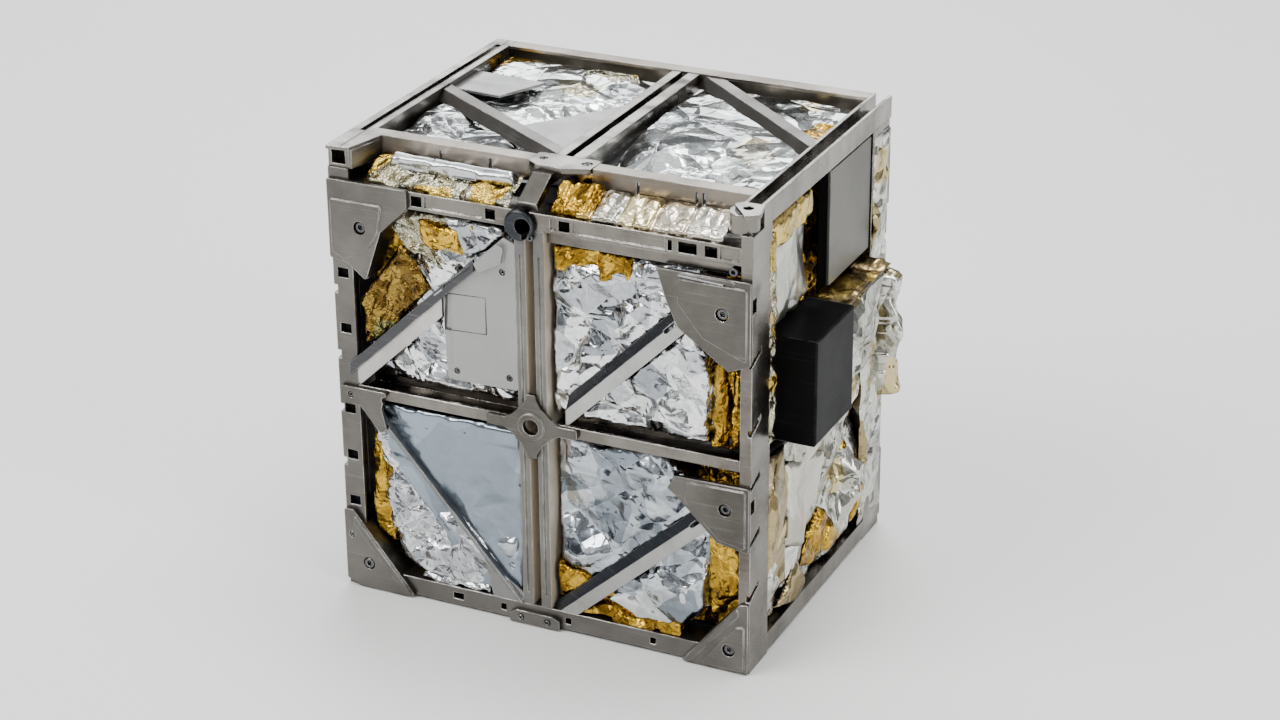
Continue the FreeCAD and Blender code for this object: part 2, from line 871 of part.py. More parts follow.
def deck_node():
    # a plate with a rounded front on a narrower block
    start = deck_front - node_overhang
    x = node_sides
    outline = [
        (x[0], node_back),
        (x[0], deck_front - 0.6),
        (x[0] + 2.4, start),
        (x[1] - 6.0, start - 0.4),
        (x[1] - 0.4, deck_front - 0.4),
        (x[1], node_back),
    ]
    plate = prism("z", outline, top_height - node_plate, top_height, 1.4)
    stem = block((x[0], x[1]), (deck_front, node_back), (deck_bottom, top_height - node_plate))
    body = plate.fuse(stem)
    for centre, radius in (((x[0] + 2.5, deck_front + 1.8), 0.9), ((x[1] - 2.4, deck_front + 2.2), 1.2)):
        body = body.cut(pin("z", centre, radius, top_height - 2.5, top_height + 1))
    return body


def deck_bars():
    y = (node_back, deck_back)
    bars = []
    for x in (bar_left, bar_right):
        bars.append(block(x, y, bar_z))
    return bars


def deck_braces():
    z = (deck_bottom, top_height)
    y = (node_back, deck_back)
    seat = bar_z[1] - bar_top_gap
    left_cell = block((post_inner, bar_left[0]), y, z)
    right_cell = block((bar_right[1], deck_right), y, z)
    down = vec(0, 0, -1)
    mirrored = [(-u, v) for u, v in folded]
    left_strip = strip(
        vec(left + 14.0, deck_front + deck_strip_start, seat),
        vec(bar_left[0] - 1.0, deck_front + 4.4, seat),
        mirrored,
        down,
        left_cell,
        20.0,
    )
    right_strip = strip(
        vec(bar_right[1] + 10.0, deck_back - 10.0, seat),
        vec(right - 3.0, deck_front + 28.0, seat),
        mirrored,
        down,
        right_cell,
        20.0,
    )
    return left_strip, right_strip


def deck_plates():
    # the small plate keeps its distance from the strip in front of it
    upper = top_height - bar_top_gap - plate_drop
    z = (upper - plate_sheet, upper)
    outer = post_inner
    inner = bar_left[0]
    start = deck_front + deck_strip_start + small_plate_gap
    small = [
        (outer, start),
        (outer + 12.5, start - 0.8),
        (outer + small_plate_width, start + small_plate_length - 1.2),
        (outer, start + small_plate_length),
    ]
    near = deck_front + large_plate_start
    large = [(inner, near), (inner, near + large_plate_length), (inner - large_plate_width, near + 9.6)]
    return prism("z", small, *z), prism("z", large, *z)


def deck_foils():
    y = (node_back + foil_gap, deck_back - foil_gap)
    crown = bar_z[0] + 1.2
    cells = ((post_inner + foil_gap, bar_left[0] - foil_gap), (bar_right[1] + foil_gap, deck_right - foil_gap))
    return [
        folded_pad("z", x, y, core_top, crown, foil_bevel, fold_sag, phase)
        for x, phase in zip(cells, (0.4, 2.9))
    ]


def edge_foils():
    # the wrapping that shows between the front frame and the deck, and its match at the back
    points = [
        (face + sheet, frame_height),
        (post_back - 0.1, frame_height),
        (post_back - 0.1, deck_bottom + 1.4),
        (post_back - 2.6, deck_bottom + 1.4),
        (face + sheet, frame_height + 1.2),
    ]
    spans = ((post_inner + 3.4, node_sides[0] - 0.2), (node_sides[1] + 0.2, deck_right - 2.4))
    lengths = [prism("x", points, *x) for x in spans]
    rear = block(
        (post_inner + 0.2, -post_inner - 0.2),
        (core_half_depth + 0.2, back - 1.6),
        (socket_z + socket_radius + 0.1, core_top),
    )
    return lengths + [rear]


def link():
    # the short inclined strap from the deck's node plate down to the socket
    low = frame_height + 0.6
    high = top_height - node_plate
    points = [
        (front + 1.0, low),
        (deck_front - 3.4, high - 2.4),
        (deck_front, high - 2.4),
        (deck_front, high),
        (deck_front - 3.6, high),
        (front + 0.2, low + 1.8),
    ]
    return prism("x", points, socket_x - 0.2, socket_x + 4.2)


def bottom_lug():
    plate = prism(
        "y",
        [(blade_left - 3.1, 0.2), (blade_right + 2.3, 0.2), (blade_right + 2.3, 2.6), (blade_right + 0.4, 3.4),
         (blade_left - 1.4, 3.4), (blade_left - 3.1, 2.4)],
        front,
        face,
        0.4,
    )
    for x in (blade_left - 0.3, blade_right - 0.7):
        plate = plate.cut(pin("y", (x, 1.8), small_hole, front - 1, face + 1))
    return plate


def side_rail(side):
    x = sorted((side * (body_width / 2 - post_width), side * body_width / 2))
    outer = block(x, (post_back, -post_back), (bottom_clear, bottom_top))
    inner = block(
        (x[0] + sheet, x[1] - sheet), (post_back - 1, -post_back + 1), (bottom_clear + sheet, bottom_top - sheet)
    )
    return outer.cut(inner)


def base_hub():
    disc = pin("z", (0, 0), base_hub_radius, 0, base_hub_height)
    return disc.cut(pin("z", (0, 0), base_hub_bore, -1, core_bottom))


def base_bars():
    # a bar on each side of the bottom hub, with a diagonal strip out to the side rail
    y = face + bottom_flange
    z = (bottom_clear + 0.2, bottom_clear + 1.4)
    rail = -post_inner
    bars = []
    for side in (-1, 1):
        x = sorted((side * base_bar[0], side * base_bar[1]))
        bar = block(x, (y, -y), (bottom_clear, base_hub_height))
        bar = bar.cut(pin("z", (0, 0), base_hub_radius, -1, core_bottom))
        inner = side * base_bar[1]
        outer = side * rail
        points = [(inner, back - 22.0), (inner, back - 18.0), (outer, front + 31.0), (outer, front + 27.0)]
        bars.append(bar.fuse(prism("z", points, *z)).removeSplitter())
    return bars


def base_foils():
    y = (-core_half_depth, core_half_depth)
    hole = pin("z", (0, 0), base_hub_radius + 0.2, -1, core_bottom + 1)
    parts = []
    for x in ((-core_half_width, -base_bar[1] - 0.2), (base_bar[1] + 0.2, core_half_width)):
        parts.append(folded_pad("z", x, y, core_bottom, bottom_clear + 1.5, 1.2, fold_sag / 2, 1.3).cut(hole))
    return parts


def sensor_box():
    reach = right + sensor_reach
    box = block(
        (core_half_width, reach),
        (sensor_front, sensor_front + sensor_length),
        (sensor_bottom, sensor_top),
    )
    rim = [edge for edge in box.Edges if edge.BoundBox.XMin > reach - 0.01]
    return box.makeFillet(sensor_round, rim)


def right_base():
    z = (bottom_top + foil_gap, core_top)
    sheet_block = block((core_half_width, side_seat), (-core_half_depth, core_half_depth), z)
    hole = block(
        (core_half_width - 1, side_seat + 1),
        (sensor_front - foil_gap, sensor_front + sensor_length + foil_gap),
        (sensor_bottom - foil_gap, sensor_top + foil_gap),
    )
    return sheet_block.cut(hole)


def right_upper_foils():
    split = core_half_depth - radiator_length - radiator_gap
    tall = folded_pad(
        "x",
        (-core_half_depth, split),
        (sensor_top + 1.0, core_top),
        side_seat,
        right - 0.2,
        foil_bevel,
        fold_sag,
        0.9,
    )
    narrow = pad(
        "x",
        oblong((-core_half_depth, sensor_front - 0.6), (sensor_bottom - 0.6, sensor_top)),
        side_seat,
        right - 1.0,
        0.8,
    )
    return tall, narrow


def right_lower_foil():
    z = (bottom_top + foil_gap, sensor_bottom - 1.4)
    y = (-core_half_depth, core_half_depth)
    return folded_pad("x", y, z, side_seat, right + 0.6, foil_bevel, 1.4 * fold_sag, 2.2)


def right_module():
    y = (sensor_front + sensor_length + 0.6, core_half_depth)
    return folded_pad("x", y, (sensor_bottom, sensor_top - 3.0), side_seat, right + 4.5, 1.0, fold_sag, 3.4)


def right_flaps():
    # the fold over the module, and the tail of wrapping on the back post
    y = (sensor_front + sensor_length + 0.6, core_half_depth)
    low = sensor_top - 3.0 + foil_gap
    fold = prism(
        "y",
        [(side_seat, low), (right + 5.0, low), (right + 5.4, low + 0.5), (side_seat, low + 2.2)],
        *y,
    )
    tail = pad(
        "x",
        oblong((back - 7.0, back - 1.2), (mid_height - 15.0, mid_height + 15.6)),
        right,
        right + 4.7,
        0.8,
    )
    return fold, tail


def radiator():
    y = (core_half_depth - radiator_length, core_half_depth)
    z = (sensor_top + 0.6, core_top)
    plate = block((right - 0.4 - radiator_sheet, right - 0.4), y, z)
    standoff = block((side_seat, right - 0.4 - radiator_sheet), (y[0] + 4.0, y[1] - 4.0), (z[0] + 3.6, z[1] - 3.4))
    return plate.fuse(standoff)


def left_side():
    y = (-core_half_depth, core_half_depth)
    split = mid_height + 22.8
    base = block((-side_seat, -core_half_width), y, (bottom_top + foil_gap, core_top))
    crown = left + 0.2
    above = (mid_height + 1.0, split)
    below = (bottom_top + foil_gap, mid_height - 1.0)
    upper = folded_pad("x", y, above, -side_seat, crown, foil_bevel, fold_sag, 0.2)
    lower = folded_pad("x", y, below, -side_seat, crown, foil_bevel, fold_sag, 1.6)
    z = (split + 2.0, core_top - 1.5)
    plate = block((left + 0.4, left + 0.4 + radiator_sheet), (y[0] + 3, y[1] - 3), z)
    standoff = block((left + 0.4 + radiator_sheet, -side_seat), (y[0] + 7, y[1] - 7), (z[0] + 4, z[1] - 4))
    return base, upper, lower, plate.fuse(standoff)


def build_front_and_back():
    left_post, right_post = front_posts()
    keep("front_left_post", left_post)
    keep("front_right_post", right_post)
    keep("back_posts", half_turn(left_post), half_turn(right_post))
    rails = (top_rail(), bottom_rail(), *mid_rail())
    keep("front_top_rail", rails[0])
    keep("front_bottom_rail", rails[1])
    keep("front_mid_rail", *rails[2:])
    keep("back_rails", *[half_turn(rail) for rail in rails])
    keep("front_blades", *blades())
    keep("back_blades", *[half_turn(blade) for blade in blades()])
    keep("front_socket", socket())
    keep("front_hub", hub())
    keep("back_hub", half_turn(hub()), half_turn(socket()))
    gussets = front_gussets()
    braces = front_braces()
    for name, shape in (gussets | braces).items():
        keep(name, shape)
    keep("back_gussets", *[half_turn(shape) for shape in gussets.values()])
    keep("back_braces", *[half_turn(shape) for shape in braces.values()])
    keep("front_cover_plate", cover_plate())
    silver, gold = front_foils()
    for name, shape in silver.items():
        keep(name, shape)
    keep("foil_front_base", *gold)
    keep("foil_back", *[half_turn(shape) for shape in silver.values()])
    keep("foil_back_base", *[half_turn(shape) for shape in gold])


def build_deck():
    keep("deck_left_rail", deck_left_rail())
    keep("deck_right_rail", deck_right_rail())
    keep("deck_front_rail", *deck_front_rail())
    keep("deck_back_rail", deck_back_rail())
    keep("deck_bars", *deck_bars())
    keep("deck_node", deck_node())
    keep("deck_link", link())
    keep("deck_lug", deck_lug())
    left_strip, right_strip = deck_braces()
    keep("deck_brace_left", left_strip)
    keep("deck_brace_right", right_strip)
    keep("deck_plates", *deck_plates())
    keep("foil_deck", *deck_foils())
    keep("foil_edge", *edge_foils())


def build_base():
    keep("bottom_lug", bottom_lug())
    keep("base_side_rails", side_rail(-1), side_rail(1))
    keep("base_hub", base_hub())
    keep("base_bars", *base_bars())
    keep("foil_base", *base_foils())


def build_sides():
    left_base, left_upper, left_lower, left_plate = left_side()
    keep("foil_side_base", left_base, right_base())
    keep("foil_left", left_upper, left_lower)
    keep("left_plate", left_plate)
    keep("foil_right_upper", *right_upper_foils())
    keep("foil_right_lower", right_lower_foil())
    keep("foil_right_module", right_module())
    keep("foil_right_flap", *right_flaps())
    keep("right_plate", radiator())
    keep("sensor_box", sensor_box())
    keep("core", block(
        (-core_half_width, core_half_width),
        (-core_half_depth, core_half_depth),
        (core_bottom, core_top),
    ))


def write():
    os.makedirs("parts", exist_ok=True)
    for name, solids in nodes.items():
        shape = solids[0] if len(solids) == 1 else Part.makeCompound(solids)
        shape.exportStep("parts/" + name + ".step")
    print(len(nodes), "nodes")


build_front_and_back()
build_deck()
build_base()
build_sides()
write()
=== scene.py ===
import json
import math

import bmesh
import bpy
import numpy as np
from mathutils import Matrix, Vector
from mathutils.bvhtree import BVHTree


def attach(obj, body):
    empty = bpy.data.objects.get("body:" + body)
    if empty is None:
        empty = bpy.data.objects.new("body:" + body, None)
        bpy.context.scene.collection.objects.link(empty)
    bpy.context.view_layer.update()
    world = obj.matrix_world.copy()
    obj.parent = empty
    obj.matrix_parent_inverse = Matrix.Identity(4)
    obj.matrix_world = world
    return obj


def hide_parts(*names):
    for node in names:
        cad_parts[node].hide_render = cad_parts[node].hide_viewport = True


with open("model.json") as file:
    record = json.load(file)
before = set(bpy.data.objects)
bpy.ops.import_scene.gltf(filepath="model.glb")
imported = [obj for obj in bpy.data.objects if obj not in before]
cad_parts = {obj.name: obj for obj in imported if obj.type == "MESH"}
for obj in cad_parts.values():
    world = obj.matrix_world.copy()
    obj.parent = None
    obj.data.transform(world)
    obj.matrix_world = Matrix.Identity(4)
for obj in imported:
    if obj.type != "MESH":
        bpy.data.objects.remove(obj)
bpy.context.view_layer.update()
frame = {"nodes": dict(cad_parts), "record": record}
nodes = frame["nodes"]
mm = 0.001
print("frame loaded:", len(nodes), "nodes")

# camera, light and floor
view = {
    "spot": (0.25986, -0.53557, 0.32269),
    "across": (0.904865, 0.425644, -0.006852),
    "upward": (-0.171990, 0.380257, 0.908749),
    "lens": 80.745,
    "sensor": 36,
    "nearest": 0.01,
}


def addObject(name, data):
    thing = bpy.data.objects.new(name, data)
    bpy.context.scene.collection.objects.link(thing)
    return thing


def makeCamera():
    across = Vector(view["across"]).normalized()
    backward = across.cross(Vector(view["upward"])).normalized()
    upward = backward.cross(across)
    camera = addObject("camera", bpy.data.cameras.new("camera"))
    camera.data.lens = view["lens"]
    camera.data.sensor_width = view["sensor"]
    camera.data.clip_start = view["nearest"]
    turn = Matrix((across, upward, backward)).transposed()
    camera.matrix_world = Matrix.Translation(view["spot"]) @ turn.to_4x4()
    bpy.context.scene.camera = camera


lamps = {
    "keyLamp": {"spot": (-0.60, -0.70, 0.95), "size": (0.8, 0.6), "power": 15.0, "tint": (1.0, 0.99, 0.97)},
    "fillLamp": {"spot": (1.0, -0.30, 0.50), "size": (0.35, 0.9), "power": 5.5, "tint": (1.0, 0.97, 0.92)},
    "topLamp": {"spot": (0.15, 0.30, 1.1), "size": (0.7, 0.35), "power": 10.0, "tint": (1.0, 1.0, 1.0)},
    "rearLamp": {"spot": (-0.5, 0.9, 0.7), "size": (0.6, 0.6), "power": 6.0, "tint": (0.95, 0.98, 1.0)},
}
lampAim = Vector((0, 0, 0.05))  # about the middle of the satellite


def makeLamps():
    for name, lamp in lamps.items():
        light = bpy.data.lights.new(name, "AREA")
        light.shape = "RECTANGLE"
        light.size, light.size_y = lamp["size"]
        light.energy = lamp["power"]
        light.color = lamp["tint"]
        thing = addObject(name, light)
        thing.location = lamp["spot"]
        thing.rotation_euler = (lampAim - thing.location).to_track_quat("-Z", "Y").to_euler()


# brightness of the room from the horizon to straight up, and how far its bands wander
room = {
    "bands": (
        (0.0, 0.10), (0.10, 0.05), (0.22, 0.75), (0.34, 0.16),
        (0.50, 0.95), (0.62, 0.30), (0.80, 1.5), (1.0, 1.1),
    ),
    "tint": (0.97, 0.99, 1.0),
    "wander": 0.55,
    "strength": 1.0,
}


def makeRoom():
    # a soft studio: light panels and darker gaps between them, for the metal and foil to pick up
    world = bpy.data.worlds.new("room")
    bpy.context.scene.world = world
    world.use_nodes = True
    tree = world.node_tree
    tree.nodes.clear()
    around = addNode(tree, "ShaderNodeTexCoord").outputs["Generated"]
    noise = noiseAt(tree, around, Scale=1.6, Detail=1.0, Roughness=0.5)
    shift = sums(tree, "MULTIPLY", sums(tree, "SUBTRACT", noise, 0.5), room["wander"])
    height = sums(tree, "ADD", partOf(tree, around, "Z"), shift)
    ramp = addNode(tree, "ShaderNodeValToRGB", Fac=height)
    bands = ramp.color_ramp.elements
    while len(bands) < len(room["bands"]):
        bands.new(0.5)
    for band, (place, light) in zip(bands, room["bands"]):
        band.position = place
        band.color = (*dimmed(room["tint"], light), 1)
    shade = addNode(tree, "ShaderNodeBackground", Color=ramp.outputs[0], Strength=room["strength"])
    addNode(tree, "ShaderNodeOutputWorld", Surface=shade.outputs[0])


floorLook = {"size": 12.0, "tint": (0.74, 0.745, 0.735), "cloud": 0.96, "roughness": 0.6}


def makeFloor():
    bm = bmesh.new()
    bmesh.ops.create_grid(bm, x_segments=4, y_segments=4, size=floorLook["size"] / 2)
    mesh = bpy.data.meshes.new("floor")
    bm.to_mesh(mesh)
    bm.free()
    floor = addObject("floor", mesh)
    look, tree, surface = newMaterial("paleFloor", Roughness=floorLook["roughness"])
    grain = noiseAt(tree, objectPlace(tree), Scale=3.0, Detail=4.0)
    tone = blend(tree, grain, floorLook["tint"], dimmed(floorLook["tint"], floorLook["cloud"]))
    link(tree, tone, surface["Base Color"])
    mesh.materials.append(look)


# shader helpers
def newMaterial(name, **values):
    material = bpy.data.materials.new(name)
    material.use_nodes = True
    tree = material.node_tree
    tree.nodes.clear()
    surface = addNode(tree, "ShaderNodeBsdfPrincipled", **values)
    addNode(tree, "ShaderNodeOutputMaterial", Surface=surface.outputs[0])
    return material, tree, surface.inputs


def feed(tree, socket, value):
    if isinstance(value, bpy.types.NodeSocket):
        tree.links.new(value, socket)
    elif isinstance(value, tuple):
        socket.default_value = (*value, 1) if len(value) == 3 and socket.type == "RGBA" else value
    else:
        socket.default_value = value


def addNode(tree, kind, **values):
    # a key in lower case is a setting of the node's own, any other one of its sockets
    node = tree.nodes.new(kind)
    for key, value in values.items():
        if key[0].islower():
            setattr(node, key, value)
        else:
            feed(tree, node.inputs[key.replace("_", " ")], value)
    return node


def link(tree, source, target):
    tree.links.new(source, target)


def dimmed(colour, share):
    return tuple(share * c for c in colour)


def objectPlace(tree):
    return addNode(tree, "ShaderNodeTexCoord").outputs["Object"]


def partOf(tree, place, axis):
    return addNode(tree, "ShaderNodeSeparateXYZ", Vector=place).outputs[axis]


def noiseAt(tree, place, **values):
    return addNode(tree, "ShaderNodeTexNoise", Vector=place, **values).outputs["Fac"]


def blend(tree, factor, first, second):
    node = addNode(tree, "ShaderNodeMix", data_type="RGBA")
    for key, value in (("Factor", factor), ("A", first), ("B", second)):
        feed(tree, node.inputs[key], value)
    return node.outputs["Result"]


def painted(tree, tone, mask, share, colour):
    # a colour over the tone where the mask shows it, by a share of the mask
    return blend(tree, sums(tree, "MULTIPLY", mask, share), tone, colour)


def sums(tree, kind, first, second=None, clamp=False):
    node = addNode(tree, "ShaderNodeMath", operation=kind, use_clamp=clamp)
    feed(tree, node.inputs[0], first)
    if second is not None:
        feed(tree, node.inputs[1], second)
    return node.outputs[0]


def vectors(tree, kind, first, second):
    node = addNode(tree, "ShaderNodeVectorMath", operation=kind)
    feed(tree, node.inputs[0], first)
    feed(tree, node.inputs["Scale" if kind == "SCALE" else 1], second)
    return node.outputs["Value" if kind == "DOT_PRODUCT" else "Vector"]


def rangeOf(tree, value, fromLow, fromHigh, toLow=0.0, toHigh=1.0):
    node = tree.nodes.new("ShaderNodeMapRange")
    feed(tree, node.inputs["Value"], value)
    for key, number in (("From Min", fromLow), ("From Max", fromHigh), ("To Min", toLow), ("To Max", toHigh)):
        node.inputs[key].default_value = number
    return node.outputs[0]


def stepAt(tree, value, place, soft=0.0001):
    # from 0 below the place to 1 above it, or the other way where the softness is negative
    return rangeOf(tree, value, place - soft, place + soft)


def newGroup(name, inputs, outputs):
    group = bpy.data.node_groups.new(name, "ShaderNodeTree")
    for label, value in inputs.items():
        socket = group.interface.new_socket(label, in_out="INPUT", socket_type="NodeSocketFloat")
        socket.default_value = value
    for label in outputs:
        kind = "NodeSocketVector" if label == "Normal" else "NodeSocketFloat"
        group.interface.new_socket(label, in_out="OUTPUT", socket_type=kind)
    return group, group.nodes.new("NodeGroupInput").outputs, group.nodes.new("NodeGroupOutput").inputs


def makeEdgeWearAndHighlight():
    # where edges are rubbed bright, partly real wear and partly a painted highlight, and the softened normal
    # over them
    group, given, result = newGroup("edgeWearAndHighlight", {"Spread": 0.5, "Breakup": 90.0}, ("Mask", "Normal"))
    rounded = addNode(group, "ShaderNodeBevel", samples=3, Radius=0.00033).outputs[0]
    plain = addNode(group, "ShaderNodeNewGeometry").outputs["Normal"]
    bend = rangeOf(group, vectors(group, "DOT_PRODUCT", rounded, plain), 0.995, 0.8)
    noise = noiseAt(group, objectPlace(group), Scale=given["Breakup"], Detail=5.0, Roughness=0.65)
    rough = rangeOf(group, noise, 0.35, 0.62)
    wornAndHighlight = sums(group, "MULTIPLY", bend, sums(group, "ADD", rough, given["Spread"]), clamp=True)
    link(group, wornAndHighlight, result["Mask"])
    link(group, rounded, result["Normal"])
    return group


def makePaintedRecessShade():
    # how deep in a corner or slot a point lies, where painted shade goes
    group, given, result = newGroup("paintedRecessShade", {"Reach": 0.004}, ("Mask",))
    shade = addNode(group, "ShaderNodeAmbientOcclusion", samples=4, Distance=given["Reach"])
    link(group, rangeOf(group, shade.outputs["AO"], 0.75, 0.15), result["Mask"])
    return group


def makeRubbedGrain():
    # blotches, fine scratches and pits of handled metal, and the slow waves of thin sheet
    group, given, result = newGroup("rubbedGrain", {"Scale": 1.0}, ("Blotch", "Scratch", "Height", "Wave"))
    place = vectors(group, "SCALE", objectPlace(group), given["Scale"])
    blotch = noiseAt(group, place, Scale=38.0, Detail=6.0, Roughness=0.68)
    wave = noiseAt(group, place, Scale=75.0, Detail=1.5, Roughness=0.5)
    fine = noiseAt(group, place, Scale=1500.0, Detail=3.0, Roughness=0.6)
    drawn = addNode(group, "ShaderNodeMapping", Vector=place, Scale=(60.0, 60.0, 2600.0),
                    Rotation=(0.6, 0.35, 0.2)).outputs[0]
    lines = rangeOf(group, noiseAt(group, drawn, Scale=1.0, Detail=2.0, Roughness=0.5), 0.6, 0.72)
    link(group, rangeOf(group, blotch, 0.42, 0.68), result["Blotch"])
    link(group, lines, result["Scratch"])
    link(group, sums(group, "SUBTRACT", fine, sums(group, "MULTIPLY", lines, 0.5)), result["Height"])
    link(group, wave, result["Wave"])
    return group


# the creases of foil: each layer's scale against the sheet's own, its slope, and whether it is the finest
creases = {
    "layers": ((1.0, 0.24, False), (2.6, 0.15, False), (6.5, 0.16, True)),
    "width": 0.00024,
    "warp": 0.004,
    "facets": 2.3,
}


def makeFoilCreases():
    # flat facets between sharp creases at three sizes, each a roof over the cells of a pattern
    group, given, result = newGroup(
        "foilCreases", {"Scale": 150.0, "Seed": 0.0, "Fine": 1.0},
        ("Height", "FacetReflection", "Blotch", "Glint", "Line"),
    )
    shifted = vectors(group, "ADD", objectPlace(group), given["Seed"])
    warp = addNode(group, "ShaderNodeTexNoise", Vector=shifted, Scale=90.0, Detail=2.0).outputs["Color"]
    centred = vectors(group, "SUBTRACT", warp, (0.5, 0.5, 0.5))
    warped = vectors(group, "ADD", shifted, vectors(group, "SCALE", centred, creases["warp"]))
    total = glint = None
    for factor, slope, finest in creases["layers"]:
        scale = sums(group, "MULTIPLY", given["Scale"], factor)
        cells = addNode(group, "ShaderNodeTexVoronoi", feature="DISTANCE_TO_EDGE", Vector=warped, Scale=scale)
        edge = cells.outputs["Distance"]
        part = sums(group, "DIVIDE", sums(group, "MULTIPLY", edge, slope), scale)
        near = rangeOf(group, sums(group, "DIVIDE", edge, scale), creases["width"], 0.0)
        if finest:
            part = sums(group, "MULTIPLY", part, given["Fine"])
            # the finest creases also give the mask for painted dark lines of shade
            link(group, sums(group, "MULTIPLY", near, given["Fine"]), result["Line"])
        else:
            glint = near if glint is None else sums(group, "MAXIMUM", glint, near)
        total = part if total is None else sums(group, "ADD", total, part)
    link(group, total, result["Height"])
    facets = sums(group, "MULTIPLY", given["Scale"], creases["facets"])
    # a random value for each facet, which picks its painted reflection
    tint = addNode(group, "ShaderNodeTexVoronoi", Vector=warped, Scale=facets).outputs["Color"]
    link(group, addNode(group, "ShaderNodeSeparateColor", Color=tint).outputs[0], result["FacetReflection"])
    patch = noiseAt(group, shifted, Scale=45.0, Detail=3.0, Roughness=0.6)
    link(group, rangeOf(group, patch, 0.35, 0.65), result["Blotch"])
    broken = rangeOf(group, noiseAt(group, shifted, Scale=240.0, Detail=1.0), 0.45, 0.6)
    link(group, sums(group, "MULTIPLY", glint, broken), result["Glint"])
    return group


def useGroup(tree, group, **values):
    return addNode(tree, "ShaderNodeGroup", node_tree=group, **values).outputs


